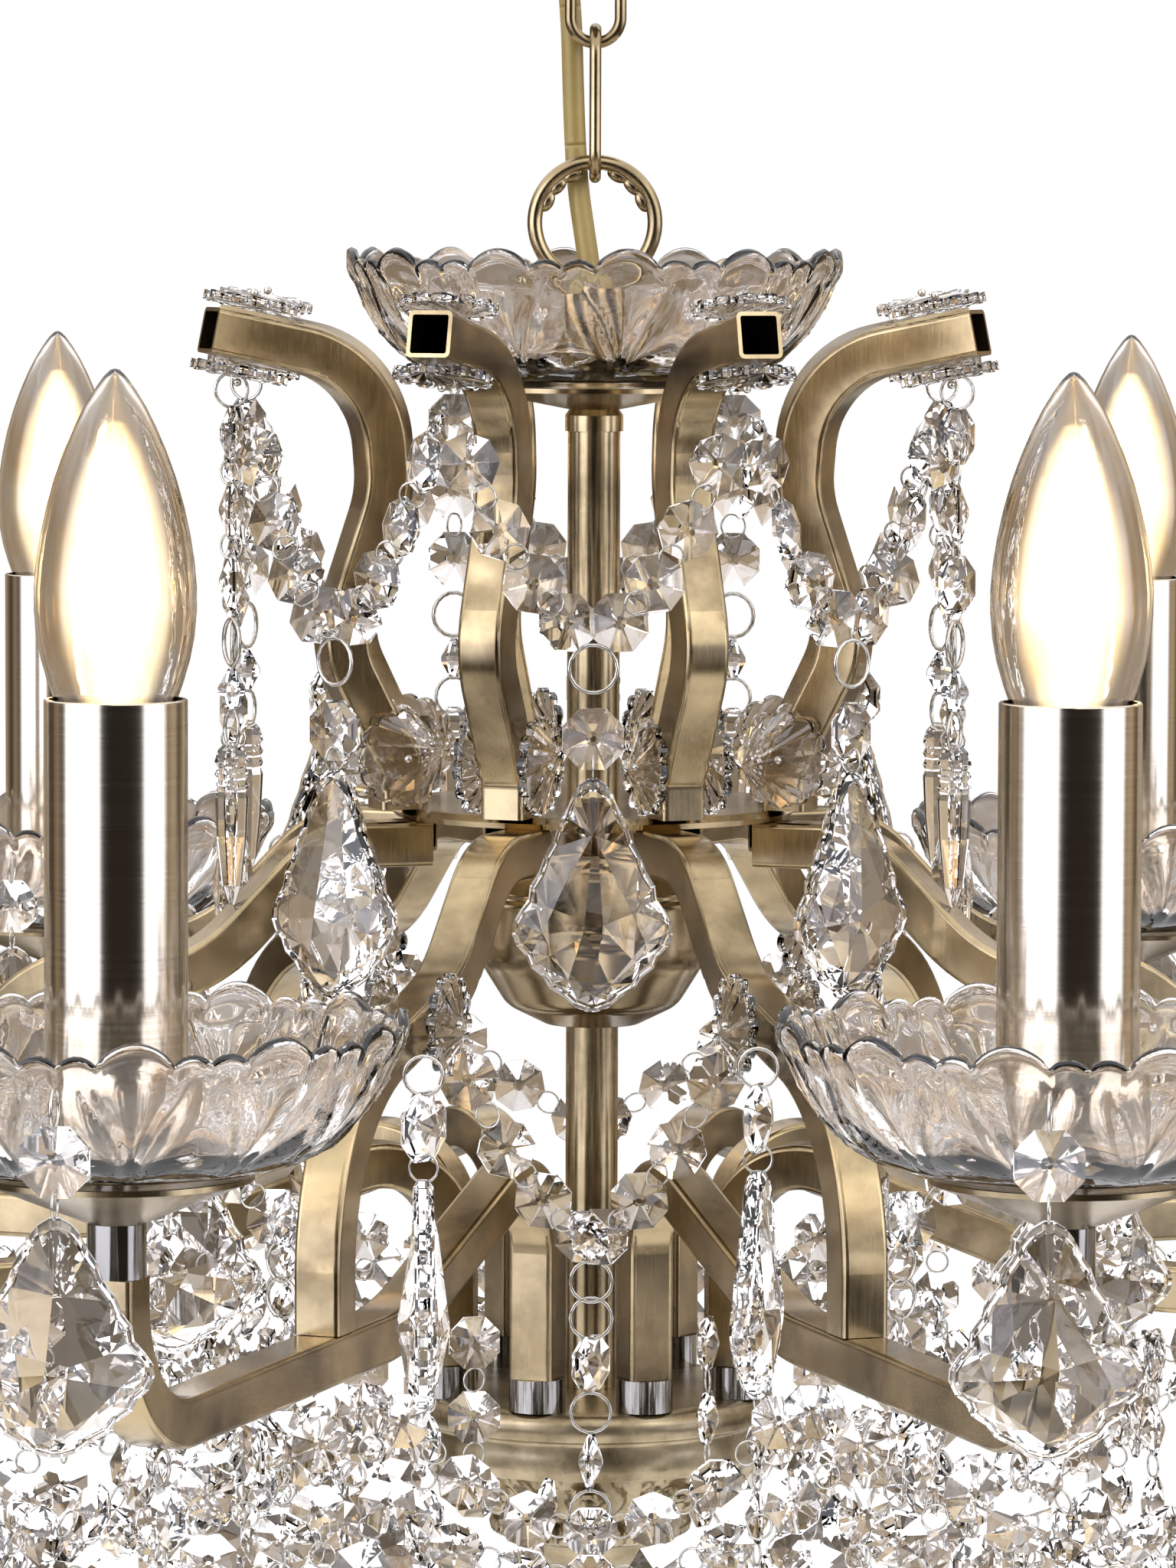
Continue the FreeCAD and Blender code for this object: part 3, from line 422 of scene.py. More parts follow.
def set_in_place(pattern, name, spot, turn=0.0):
    """A copy of a mesh in millimetres, turned and set at a spot in metres."""
    mesh = pattern.copy()
    mesh.name = name
    mesh.transform(Matrix.Translation(spot) @ Matrix.Rotation(turn, 4, "Z") @ Matrix.Scale(MM, 4))
    return mesh


DISH_NODES = ["top_bowl"] + [f"candle_dish_{k}" for k in range(1, 9)]
for number, name in enumerate(DISH_NODES):
    spot = middle(name)
    spot.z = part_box(name)[0].z
    mesh = set_in_place(dish_pattern, f"{name}_glass", spot, math.radians(7.5 * number))
    dish = add_piece(f"{name}_glass", mesh, pressed_glass, "chandelier")
    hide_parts(name)

# The hanging ring's inner edge: six small cusps cast with the ring, three on each side of the
# place where the lower link bears on it.
RING_RADIUS = 17.2
CUSP_RADIUS = 13.2
ring_centre_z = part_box("hanging_ring")[1].z / MM - RING_RADIUS
bm = bmesh.new()
for lean in (-66, -46, -26, 26, 46, 66):
    lean = math.radians(lean)
    spot = Vector((math.sin(lean) * CUSP_RADIUS, 0, ring_centre_z + math.cos(lean) * CUSP_RADIUS))
    bmesh.ops.create_icosphere(bm, subdivisions=3, radius=1.0, matrix=Matrix.Translation(spot)
                               @ Matrix.Rotation(lean, 4, "Y") @ Matrix.Diagonal((2.9, 1.3, 1.7, 1)))
smooth_all(bm)
bmesh.ops.scale(bm, vec=(MM, MM, MM), verts=bm.verts)
cusps = mesh_from("ring_cusps", bm)
add_piece("ring_cusps", cusps, antique_brass, "chandelier")

# The base hub: a heavy casting that the arm sockets stand on. Below its bright turned band a
# bowl carries scrolls in relief, then comes a rope moulding and a small cup.
HUB_OUTLINE = [(0, 52), (20, 52), (40, 52), (44.2, 52), (45.6, 51.4), (46.8, 50.2), (47, 49), (47, 45.6),
               (46.4, 45), (45.4, 44.6), (45.0, 43.6), (45.2, 41), (44.8, 37.5), (44.2, 35.2), (42.6, 34.2),
               (41.6, 32.8), (40.7, 31), (39.6, 29.2), (38.2, 27.4), (36.5, 25.7), (34.5, 24.2),
               (32.2, 22.9), (29.8, 21.8), (27.4, 20.9), (25.0, 20.2), (24.2, 19.4), (25.0, 18.4),
               (25.6, 16.9), (25.2, 15.2), (24.0, 14.3), (21.6, 13.8), (20.2, 13), (19.6, 11.6),
               (18.4, 9.9), (16.4, 7.6), (13.8, 5.4), (11, 3.4), (8.4, 1.2), (7.6, 0.2), (0, 0)]
HUB_STEPS = 288
RELIEF_FROM, RELIEF_TO = 20.5, 34.0
RELIEF_SCROLLS = 10
RELIEF_HEIGHT = 1.3
ROPE_STRANDS = 56
ROPE_HEIGHT = 0.55
hub_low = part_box("base_hub")[0].z / MM
bm = bmesh.new()
outline = [bm.verts.new((r, 0, z)) for r, z in HUB_OUTLINE]
edges = [bm.edges.new(pair) for pair in zip(outline, outline[1:])]
bmesh.ops.spin(bm, geom=outline + edges, cent=(0, 0, 0), axis=(0, 0, 1), angle=math.tau, steps=HUB_STEPS,
               use_merge=True)
bmesh.ops.remove_doubles(bm, verts=bm.verts, dist=0.001)
bmesh.ops.subdivide_edges(bm, edges=[edge for edge in bm.edges
                                     if RELIEF_FROM < edge.verts[0].co.z < RELIEF_TO
                                     and abs(edge.verts[0].co.z - edge.verts[1].co.z) > 0.5], cuts=1)
for vertex in bm.verts:
    radius = math.hypot(vertex.co.x, vertex.co.y)
    around = math.atan2(vertex.co.y, vertex.co.x)
    height = vertex.co.z
    push = 0.0
    if RELIEF_FROM < height < RELIEF_TO:
        across = ((around / math.tau * RELIEF_SCROLLS) % 1.0 - 0.5) * 26.0
        above = (height - 28.5) * 1.5
        spiral = math.hypot(across, above)
        turn = math.atan2(above, across)
        fade = min(1.0, (height - RELIEF_FROM) / 1.5, (RELIEF_TO - height) / 1.5)
        push = RELIEF_HEIGHT * fade * math.sin(spiral * 1.05 - turn)
    elif 14.4 < height < 19.4 and radius > 23:
        push = ROPE_HEIGHT * math.sin(around * ROPE_STRANDS + height * 0.9)
    if push and radius > 1:
        vertex.co.x *= 1 + push / radius
        vertex.co.y *= 1 + push / radius
bmesh.ops.recalc_face_normals(bm, faces=bm.faces)
smooth_all(bm)
bmesh.ops.scale(bm, vec=(MM, MM, MM), verts=bm.verts)
bmesh.ops.translate(bm, vec=(0, 0, hub_low * MM), verts=bm.verts)
hub_mesh = mesh_from("base_hub_casting", bm)
hub = add_piece("base_hub_casting", hub_mesh, dark_brass, "chandelier")
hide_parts("base_hub")
hub.modifiers.new("crisp", "EDGE_SPLIT").split_angle = math.radians(48)
finish_nodes(dark_brass, "base_finial")

# Bulbs: clear blown candle bulbs with four upright LED filaments on a glass stem, and a
# nickel-plated screw cap. The lit filaments flood the glass with a warm white glow.
# Blown glass: thin, clear and quite smooth, seen mostly as a bright outline
bulb_glass = glass_finish("blown_bulb_glass", "#FFF4E4", 0.01, 14.0, 0.05)
# Lit phosphor: a warm light with a fine grain where the chips lie side by side
filament_light, filament_shader = new_material("lit_filament_phosphor", Roughness=0.5)
filament_shader.inputs["Base Color"].default_value = linear("#FFD79A")
filament_shader.inputs["Emission Strength"].default_value = 34.0
filament_place = node(filament_light, "ShaderNodeTexCoord")
filament_beads = node(filament_light, "ShaderNodeTexNoise", {"Scale": 900.0},
                      Vector=filament_place.outputs["Object"])
filament_tone = node(filament_light, "ShaderNodeValToRGB", Fac=filament_beads.outputs["Fac"])
filament_tone.color_ramp.elements[0].color = linear("#FFC27A")
filament_tone.color_ramp.elements[1].color = linear("#FFE2B0")
wire_up(filament_light, filament_tone.outputs["Color"], filament_shader.inputs["Emission Color"])

# The glow: a body of light inside the glass that the real bulb doesn't have. It stands for the
# bloom of the filaments, full in the middle and clear at its edges.
warm_gas, warm_shader = new_material("lit_bulb_glow")
warm_edge = node(warm_gas, "ShaderNodeLayerWeight", {"Blend": 0.5})
warm_falloff = node(warm_gas, "ShaderNodeMath", {"operation": "POWER", 1: 5.0})
warm_inside = node(warm_gas, "ShaderNodeMath", {"operation": "SUBTRACT", 0: 1.0})
wire_up(warm_gas, warm_edge.outputs["Facing"], warm_inside.inputs[1])
wire_up(warm_gas, warm_inside.outputs[0], warm_falloff.inputs[0])
warm_clear = node(warm_gas, "ShaderNodeBsdfTransparent")
warm_emission = node(warm_gas, "ShaderNodeEmission", {"Color": linear("#FFE0AC"), "Strength": 3.8})
warm_mix = node(warm_gas, "ShaderNodeMixShader", Fac=warm_falloff.outputs[0])
wire_up(warm_gas, warm_clear.outputs[0], warm_mix.inputs[1])
wire_up(warm_gas, warm_emission.outputs[0], warm_mix.inputs[2])
warm_output = warm_gas.node_tree.nodes["Material Output"]
wire_up(warm_gas, warm_mix.outputs[0], warm_output.inputs["Surface"])
warm_gas.node_tree.nodes.remove(warm_shader)


def spun(name, outline, steps, closed=False):
    """A mesh spun from an outline of radius and height in millimetres."""
    bm = bmesh.new()
    line = [bm.verts.new((r, 0, z)) for r, z in outline]
    pairs = list(zip(line, line[1:])) + ([(line[-1], line[0])] if closed else [])
    edges = [bm.edges.new(pair) for pair in pairs]
    bmesh.ops.spin(bm, geom=line + edges, cent=(0, 0, 0), axis=(0, 0, 1), angle=math.tau, steps=steps,
                   use_merge=True)
    bmesh.ops.remove_doubles(bm, verts=bm.verts, dist=0.001)
    bmesh.ops.recalc_face_normals(bm, faces=bm.faces)
    smooth_all(bm)
    return mesh_from(name, bm)


BULB_SIDE = [(8.4, 27.0), (8.8, 29.0), (10.0, 32.5), (11.5, 36.8), (13.0, 41.0), (14.6, 45.6), (16.0, 50.4),
             (17.0, 55.6), (17.5, 61.0), (17.5, 66.0), (17.0, 71.6), (16.1, 77.4), (14.8, 83.4),
             (13.1, 89.4), (11.1, 95.0), (8.9, 100.2), (6.6, 104.8), (4.4, 108.4), (2.4, 111.2),
             (1.0, 112.6), (0.0, 112.9)]
GLASS_WALL = 0.9
bulb_inside = [(max(0.0, r - GLASS_WALL), z - (GLASS_WALL if r < 6 else 0.25))
               for r, z in reversed(BULB_SIDE)]
bulb_shell = spun("bulb_shell", BULB_SIDE + bulb_inside, 56, closed=True)
bulb_glow = spun("bulb_glow", [(0, 33), (5.0, 36), (9.6, 43), (13.0, 52), (14.7, 61), (14.7, 67), (13.4, 76),
                               (10.6, 86), (6.8, 95), (3.0, 101), (0, 103)], 32)
CAP_SIDE = [(0, 0), (3.5, 0), (4.8, 1.2), (5.6, 2.4), (6.2, 3.0)]
THREADS = 6
THREAD_PITCH = 2.9
for thread in range(THREADS):
    CAP_SIDE += [(6.7, 4.2 + thread * THREAD_PITCH), (6.2, 5.65 + thread * THREAD_PITCH)]
CAP_SIDE += [(6.7, 22.0), (6.7, 26.4), (6.2, 26.9), (0, 26.9)]
bulb_cap = spun("bulb_cap", CAP_SIDE, 40)
stem_glass = spun("bulb_stem", [(0, 27), (4.2, 27), (4.0, 33), (2.0, 40), (1.1, 48), (0.9, 84), (0, 84.8)],
                  20)

FILAMENT_RADIUS = 0.85
bm = bmesh.new()
for quarter in range(4):
    turn = math.radians(45 + 90 * quarter)
    low = Vector((math.cos(turn) * 3.0, math.sin(turn) * 3.0, 51))
    high = Vector((math.cos(turn) * 5.4, math.sin(turn) * 5.4, 84))
    lean = Vector((0, 0, 1)).rotation_difference(high - low).to_matrix().to_4x4()
    bmesh.ops.create_cone(bm, cap_ends=True, segments=10, radius1=FILAMENT_RADIUS, radius2=FILAMENT_RADIUS,
                          depth=(high - low).length, matrix=Matrix.Translation((low + high) / 2) @ lean)
filament_mesh = mesh_from("filaments", bm)

for number in range(1, 9):
    spot = middle(f"bulb_{number}")
    spot.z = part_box(f"bulb_{number}")[0].z
    body = f"bulb_{number}"
    mesh = set_in_place(bulb_shell, f"bulb_{number}_shell", spot)
    shell = add_piece(f"bulb_{number}_shell", mesh, bulb_glass, body)
    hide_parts(f"bulb_{number}")
    for part_name, pattern, material in (("cap", bulb_cap, nickel), ("stem", stem_glass, bulb_glass),
                                         ("filaments", filament_mesh, filament_light),
                                         ("glow", bulb_glow, warm_gas)):
        mesh = set_in_place(pattern, f"bulb_{number}_{part_name}", spot, math.radians(20 * number))
        add_piece(f"bulb_{number}_{part_name}", mesh, material, body)

# Rosettes: pressed glass flowers, twelve petals round a boss, pinned in pairs to the tubes by
# a wire with a small bead head.
# Lead crystal: clear and hard-edged, so each facet shows one clean piece of the room
crystal = glass_finish("cut_lead_crystal", "#FBF6F2", 0.0, 22.0, 0.01)
ROSETTE_RADIUS = 12.4
ROSETTE_SIDES = 72
PETAL_RELIEF = 3.0
bm = bmesh.new()
bmesh.ops.create_circle(bm, cap_ends=True, segments=ROSETTE_SIDES, radius=ROSETTE_RADIUS)
for share in (0.84, 0.66, 0.46, 0.26, 0.14):
    hub_face = [face for face in bm.faces if len(face.verts) == ROSETTE_SIDES]
    inner = max(vertex.co.length for vertex in hub_face[0].verts)
    bmesh.ops.inset_region(bm, faces=hub_face, thickness=inner - share * ROSETTE_RADIUS,
                           use_even_offset=False)
for vertex in bm.verts:
    reach = vertex.co.length / ROSETTE_RADIUS
    around = math.atan2(vertex.co.y, vertex.co.x)
    petal = abs(math.sin(6 * around))
    if reach > 0.9:
        vertex.co *= 0.88 + 0.12 * petal ** 0.6
    dome = PETAL_RELIEF * petal ** 0.7 * math.sin(min(1, reach * 0.95) * math.pi)
    vertex.co.z = 2.0 if reach < 0.2 else 0.7 + dome
grown = bmesh.ops.extrude_face_region(bm, geom=list(bm.faces))["geom"]
for vertex in [item for item in grown if isinstance(item, bmesh.types.BMVert)]:
    vertex.co.z = -vertex.co.z * 0.8 - 0.3
bmesh.ops.recalc_face_normals(bm, faces=bm.faces)
rosette = mesh_from("rosette", bm)

SCROLL_ANGLES = [22.5 + 45 * k for k in range(8)]
arm_spots = [middle(f"candle_tube_{k}") / MM for k in range(1, 9)]
ARM_ANGLES = [math.degrees(math.atan2(spot.x, -spot.y)) for spot in arm_spots]
CANDLE_CIRCLE = math.hypot(arm_spots[0].x, arm_spots[0].y)


def polar(radius, angle, height=0.0):
    """A place in millimetres at an angle from the front, to the right."""
    turn = math.radians(angle)
    return Vector((radius * math.sin(turn), -radius * math.cos(turn), height))


def facing(normal, spot, spin=0.0):
    """The matrix that lays a flat piece's own Z along normal at a spot."""
    return (Matrix.Translation(spot) @ Vector((0, 0, 1)).rotation_difference(normal).to_matrix().to_4x4()
            @ Matrix.Rotation(spin, 4, "Z"))


def upright(outward, spot, swing=0.0):
    """The matrix that hangs a flat piece with its own Y up and its own Z outward."""
    side = Vector((0, 0, 1)).cross(outward).normalized()
    turn = Matrix((side, Vector((0, 0, 1)), outward.normalized())).transposed().to_4x4()
    return Matrix.Translation(spot) @ turn @ Matrix.Rotation(swing, 4, "Z")


class Batch:
    """Many small pieces of one kind, gathered into one mesh."""

    def __init__(self):
        self.bm = bmesh.new()

    def stamp(self, pattern, matrix):
        before = len(self.bm.verts)
        self.bm.from_mesh(pattern)
        self.bm.verts.ensure_lookup_table()
        bmesh.ops.transform(self.bm, matrix=matrix, verts=self.bm.verts[before:])

    def done(self, name, material, slot, *replaced):
        bmesh.ops.scale(self.bm, vec=(MM, MM, MM), verts=self.bm.verts)
        piece = add_piece(name, mesh_from(name, self.bm), material, "chandelier")
        if replaced:
            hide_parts(*replaced)
        return piece


TIP_SLOPE = math.atan2(9, 44)
TUBE_TO_ROSETTE = 5.75 + 3.0
BACK_TO_PIN_HEAD = 2.6
rosettes = Batch()
pin_heads = Batch()
bm = bmesh.new()
bmesh.ops.create_icosphere(bm, subdivisions=2, radius=1.1)
smooth_all(bm)
pin_head = mesh_from("pin_head", bm)


def pin_pair(spot, normal, spin):
    for side in (-1, 1):
        place = spot + normal * (side * TUBE_TO_ROSETTE)
        rosettes.stamp(rosette, facing(normal * side, place, spin))
        pin_heads.stamp(pin_head, Matrix.Translation(place + normal * (side * BACK_TO_PIN_HEAD)))


for angle in SCROLL_ANGLES:
    outward, across = polar(1, angle), polar(1, angle + 90)
    along = outward * math.cos(TIP_SLOPE) + Vector((0, 0, math.sin(TIP_SLOPE)))
    pin_pair(polar(104, angle, -165) - along * 10, across.cross(along), math.radians(angle))
    pin_pair(polar(55, angle, -272.7), across, math.radians(11 + angle))
for angle in ARM_ANGLES:
    pin_pair(polar(124, angle, -329.6), polar(1, angle + 90), math.radians(angle * 2))
rosettes.done("rosette_flowers", crystal, "crystal", "rosettes")

# Cut crystals: octagons with eight facets and a small table on each side, beads, icicles, and
# pear-shaped drops with a moulded wavy edge. All are ground flat, so every facet is crisp.
HALF_GIRDLE = 0.5


def octagon_mesh(name, radius, crown):
    """Two low cones set back to back with a girdle between them."""
    bm = bmesh.new()
    for side in (1, -1):
        middle_height = side * (crown / 2 + HALF_GIRDLE)
        table = bmesh.ops.create_cone(bm, cap_ends=True, segments=8, radius1=radius, radius2=radius * 0.12,
                                      depth=crown, matrix=Matrix.Translation((0, 0, middle_height))
                                      @ Matrix.Rotation(0 if side > 0 else math.pi, 4, "X"))
        bmesh.ops.rotate(bm, verts=table["verts"], matrix=Matrix.Rotation(math.radians(22.5), 4, "Z"))
    flats = [face for face in bm.faces
             if abs(face.normal.z) > 0.99 and face.calc_area() > radius * radius * 2]
    bmesh.ops.bridge_loops(bm, edges=[edge for face in flats for edge in face.edges])
    bmesh.ops.delete(bm, geom=flats, context="FACES_ONLY")
    bmesh.ops.recalc_face_normals(bm, faces=bm.faces)
    return mesh_from(name, bm)


def ringed_mesh(name, sides, outline):
    """A ground crystal from a few rings of (half width, height), pointed or flat at its ends."""
    bm = bmesh.new()
    bmesh.ops.create_circle(bm, cap_ends=True, segments=sides, radius=outline[0][0],
                            matrix=Matrix.Translation((0, outline[0][1], 0))
                            @ Matrix.Rotation(math.radians(-90), 4, "X"))
    edges = list(bm.edges)
    radius, height = outline[0]
    for wide, high in outline[1:]:
        verts, edges = grow(bm, edges)
        for vertex in verts:
            vertex.co = Vector((vertex.co.x * wide / radius, high, vertex.co.z * wide / radius))
        radius, height = wide, high
    bmesh.ops.contextual_create(bm, geom=edges)
    bmesh.ops.recalc_face_normals(bm, faces=bm.faces)
    return mesh_from(name, bm)


DROP_SIDE = [(0.0, 0.05), (0.03, 0.17), (0.07, 0.25), (0.13, 0.32), (0.19, 0.42), (0.26, 0.48),
             (0.33, 0.60), (0.40, 0.67), (0.46, 0.78), (0.52, 0.80), (0.57, 0.91), (0.62, 0.99),
             (0.67, 1.0), (0.72, 0.94), (0.76, 0.83), (0.81, 0.77), (0.85, 0.62), (0.90, 0.53),
             (0.94, 0.34), (0.98, 0.21), (1.0, 0.06)]
FRONT_CORNERS = [(0, 0.24), (0.40, 0.50), (0.66, 0.70), (0.22, 0.88), (-0.30, 0.86), (-0.62, 0.66),
                 (-0.36, 0.46)]
BACK_CORNERS = [(0.05, 0.34), (0.52, 0.58), (0.50, 0.78), (0, 0.92), (-0.50, 0.76), (-0.54, 0.56)]


def drop_mesh(name, width, length, thick):
    """A flat pear drop hanging from its origin: a wavy moulded edge round large ground facets."""
    bm = bmesh.new()
    line = [bm.verts.new((half * width / 2, -share * length, 0)) for share, half in DROP_SIDE]
    line += [bm.verts.new((-half * width / 2, -share * length, 0)) for share, half in reversed(DROP_SIDE)]
    rim = [bm.edges.new(pair) for pair in zip(line, line[1:] + line[:1])]
    centre = Vector((0, -length * 0.62, 0))
    for side in (1, -1):
        edges = rim
        previous = 1.0
        places = FRONT_CORNERS if side > 0 else BACK_CORNERS
        corners = [Vector((x * width / 2, -down * length, 0)) for x, down in places]
        for share, rise in ((1.0, 0.10), (0.95, 0.19), (0.91, 0.10), (0.0, 0.28)):
            verts, edges = grow(bm, edges)
            for vertex in verts:
                here = Vector((vertex.co.x, vertex.co.y, 0))
                if share:
                    there = centre + (here - centre) * (share / previous)
                else:
                    there = min(corners, key=lambda corner: (corner - here).length)
                vertex.co = Vector((there.x, there.y, side * rise * thick))
            previous = share
        bmesh.ops.remove_doubles(bm, verts=verts, dist=0.001)
        table = bmesh.ops.contextual_create(bm, geom=[vertex for vertex in verts if vertex.is_valid])["faces"]
        apex = bmesh.ops.poke(bm, faces=table)["verts"][0]
        apex.co = Vector((-side * width * 0.05, -length * 0.64, side * thick * 0.5))
    bmesh.ops.recalc_face_normals(bm, faces=bm.faces)
    return mesh_from(name, bm)


octagon = octagon_mesh("octagon", 7.7, 2.6)
diamond_bead = ringed_mesh("diamond_bead", 6, [(0.9, 5.5), (3.9, 0.6), (3.9, -0.6), (0.9, -5.5)])
icicle = ringed_mesh("icicle", 8, [(1.6, 0), (3.6, -2), (4.6, -5), (3.7, -6.5), (4.6, -8), (3.8, -9.5),
                                   (4.6, -11), (3.8, -12.5), (4.5, -14), (4.0, -24), (2.6, -36), (0.8, -41)])
big_drop = drop_mesh("big_drop", 39, 57, 11.5)
dish_drop = drop_mesh("dish_drop", 41, 50, 11.5)
small_drop = drop_mesh("small_drop", 31, 41, 9.5)
bm = bmesh.new()
circle = bmesh.ops.create_circle(bm, segments=5, radius=0.38, matrix=Matrix.Translation((3.9, 0, 0))
                                 @ Matrix.Rotation(math.radians(90), 4, "X"))
bmesh.ops.spin(bm, geom=circle["verts"] + list(bm.edges), cent=(0, 0, 0), axis=(0, 0, 1), angle=math.tau,
               steps=18, use_merge=True)
bmesh.ops.recalc_face_normals(bm, faces=bm.faces)
smooth_all(bm)
wire_ring = mesh_from("wire_ring", bm)

# The strings: octagons joined by small rings of silvered wire through a hole near each edge.
# They hang from the pins, sag between neighbours and meet at a ring that carries a drop.
octagons = Batch()
rings = Batch()
drops = Batch()
DICE = random.Random(8)
BASKET_PITCH = 18.5


def link_ring(spot, normal, size=1.0, tilt=0.0):
    rings.stamp(wire_ring, facing(normal, spot, tilt) @ Matrix.Scale(size, 4))


def string(spots, outward, size=1.0):
    """Octagons at the spots, each turned to its string, with a ring between each two."""
    for k, spot in enumerate(spots):
        before, after = spots[max(k - 1, 0)], spots[min(k + 1, len(spots) - 1)]
        side = Vector((0, 0, 1)).cross(outward)
        swing = math.atan2((after - before).dot(side), -(after - before).z)
        sway = Matrix.Rotation(DICE.uniform(-0.5, 0.5), 4, "Y")
        octagons.stamp(octagon, upright(outward, spot, swing) @ sway @ Matrix.Scale(size, 4))
        if k:
            link_ring((spot + spots[k - 1]) / 2, outward.cross(after - before).normalized().lerp(outward, 0.6)
                      .normalized(), 0.85 * size)


def hang_string(top, outward, count, pitch, size=1.0):
    """A plumb string of octagons below a ring; gives the place of its end."""
    string([top - Vector((0, 0, pitch * (k + 0.6))) for k in range(count)], outward, size)
    return top - Vector((0, 0, pitch * (count + 0.1)))


def sagging(start, end, sag, count):
    """Places along a string that sags between two ends, evenly spaced."""
    spots = []
    for k in range(count):
        share = (k + 0.5) / count
        spots.append(start.lerp(end, share) - Vector((0, 0, sag * (1 - (2 * share - 1) ** 2))))
    return spots


def hang_drop(pattern, top, outward, sway):
    link_ring(top + Vector((0, 0, 2.6)), outward.cross(Vector((0, 0, 1))), 0.8)
    drops.stamp(pattern, upright(outward, top, 0) @ Matrix.Rotation(sway, 4, "Y"))


# Plumb strings under all the scroll tips but the front pair, each ending in a bead and a fluted
# icicle. The front pair carries garlands alone.
FRONT_PAIR = 30
for angle in SCROLL_ANGLES:
    if abs((angle + 180) % 360 - 180) < FRONT_PAIR:
        continue
    outward = polar(1, angle)
    tip = polar(98, angle, -181)
    link_ring(tip + Vector((0, 0, 1)), polar(1, angle + 90), 1.1)
    string([tip - Vector((0, 0, drop)) for drop in (10, 29, 47)], outward)
    link_ring(tip - Vector((0, 0, 62)), outward, 1.5)
    octagons.stamp(diamond_bead, Matrix.Translation(tip - Vector((0, 0, 74)))
                   @ Matrix.Rotation(math.pi / 2, 4, "X"))
    link_ring(tip - Vector((0, 0, 84)), outward, 1.3)
    drops.stamp(icicle, upright(outward, tip - Vector((0, 0, 87))))

# Eight garlands between the scroll tips, each meeting at a ring with an octagon and a big drop,
# and eight more between the stays, each with a strand of five octagons below.
gaps = []
for number, angle in enumerate(ARM_ANGLES):
    width = (ARM_ANGLES[(number + 1) % 8] - angle) % 360
    gaps.append((angle + width / 2, width, SCROLL_ANGLES[number]))
for middle_angle, width, scroll_angle in gaps:
    outward = polar(1, middle_angle)
    meeting = polar(92, middle_angle, -240)
    for end in (polar(96, scroll_angle, -182), polar(96, scroll_angle + 45, -182)):
        spots = []
        for share in (0.17, 0.38, 0.6, 0.83):
            spot = end.lerp(meeting, share)
            spot.z -= 9 * math.sin(math.pi * share)
            spots.append(spot)
        string(spots, outward)
    link_ring(meeting - Vector((0, 0, 6)), outward, 1.5)
    string([meeting - Vector((0, 0, 23))], outward, 1.05)
    hang_drop(big_drop, polar(92, middle_angle, -272.5), outward, DICE.uniform(-0.12, 0.12))
    reach = width / 2 - 5
    low_meeting = polar(110, middle_angle, -384)
    for end in (polar(124, middle_angle - reach, -338), polar(124, middle_angle + reach, -338)):
        spots = []
        for share in (0.08, 0.36, 0.64, 0.93):
            spot = end.lerp(low_meeting, share)
            spot.z -= 6 * math.sin(math.pi * share)
            spots.append(spot)
        string(spots, outward, 0.95)
    link_ring(low_meeting - Vector((0, 0, 9)), outward, 1.3)
    link_ring(low_meeting - Vector((0, 0, 18)), outward, 1.3)
    side_on = polar(1, middle_angle + 70)
    for step in range(5):
        place = low_meeting - Vector((0, 0, 29 + 24 * step))
        string([place], side_on, 0.95)
        link_ring(place - Vector((0, 0, 12)), outward, 1.25)

# Four pendants at each dish: a pin through the glass, an octagon and a drop. One more octagon
# with a small drop hangs under each arm.
DISH_PIN_RADIUS = 67
for spot, angle in zip(arm_spots, ARM_ANGLES):
    centre = Vector((spot.x, spot.y, 0))
    for quarter in range(4):
        direction = polar(1, -7 + 90 * quarter)
        place = centre + direction * DISH_PIN_RADIUS
        link_ring(place + Vector((0, 0, -321)), polar(1, 83 + 90 * quarter), 1.1)
        string([place + Vector((0, 0, -332))], direction, 1.05)
        hang_drop(dish_drop, place + Vector((0, 0, -343.5)), direction, DICE.uniform(-0.2, 0.2))
    under = polar(CANDLE_CIRCLE - 24, angle, -409)
    link_ring(under - Vector((0, 0, 3)), polar(1, angle + 90), 1.1)
    string([under - Vector((0, 0, 14))], polar(1, angle), 1.0)
    hang_drop(small_drop, under - Vector((0, 0, 25)), polar(1, angle), DICE.uniform(-0.2, 0.2))

# The lower basket: plumb strings under every arm, three rows of swags from arm to arm, and one
# string from each arm in to the hub.
for number, angle in enumerate(ARM_ANGLES):
    following = ARM_ANGLES[(number + 1) % 8]
    outward = polar(1, angle)
    for radius, count in ((84, 3), (118, 4), (152, 4), (186, 4), (220, 3), (250, 3)):
        top = polar(radius, angle, -408 if radius > 120 else -402)
        turned = polar(1, angle + DICE.uniform(-60, 60))
        end = hang_string(top, turned, count, BASKET_PITCH, 0.9)
        if radius in (118, 186):
            hang_drop(small_drop, end + Vector((0, 0, 3)), turned, DICE.uniform(-0.4, 0.4))
    for radius, sag, height in ((272, 34, -412), (205, 40, -410), (152, 36, -412)):
        start, end = polar(radius, angle, height), polar(radius, following, height)
        count = max(6, round(((end - start).length ** 2 + (2.2 * sag) ** 2) ** 0.5 / BASKET_PITCH))
        facing_out = polar(1, angle + ((following - angle) % 360) / 2)
        string(sagging(start, end, sag, count), facing_out, 0.9)
    inward = sagging(polar(215, angle + 9, -432), polar(50, angle + 9, -452), 34, 10)
    string(inward, polar(1, angle + 90), 0.9)

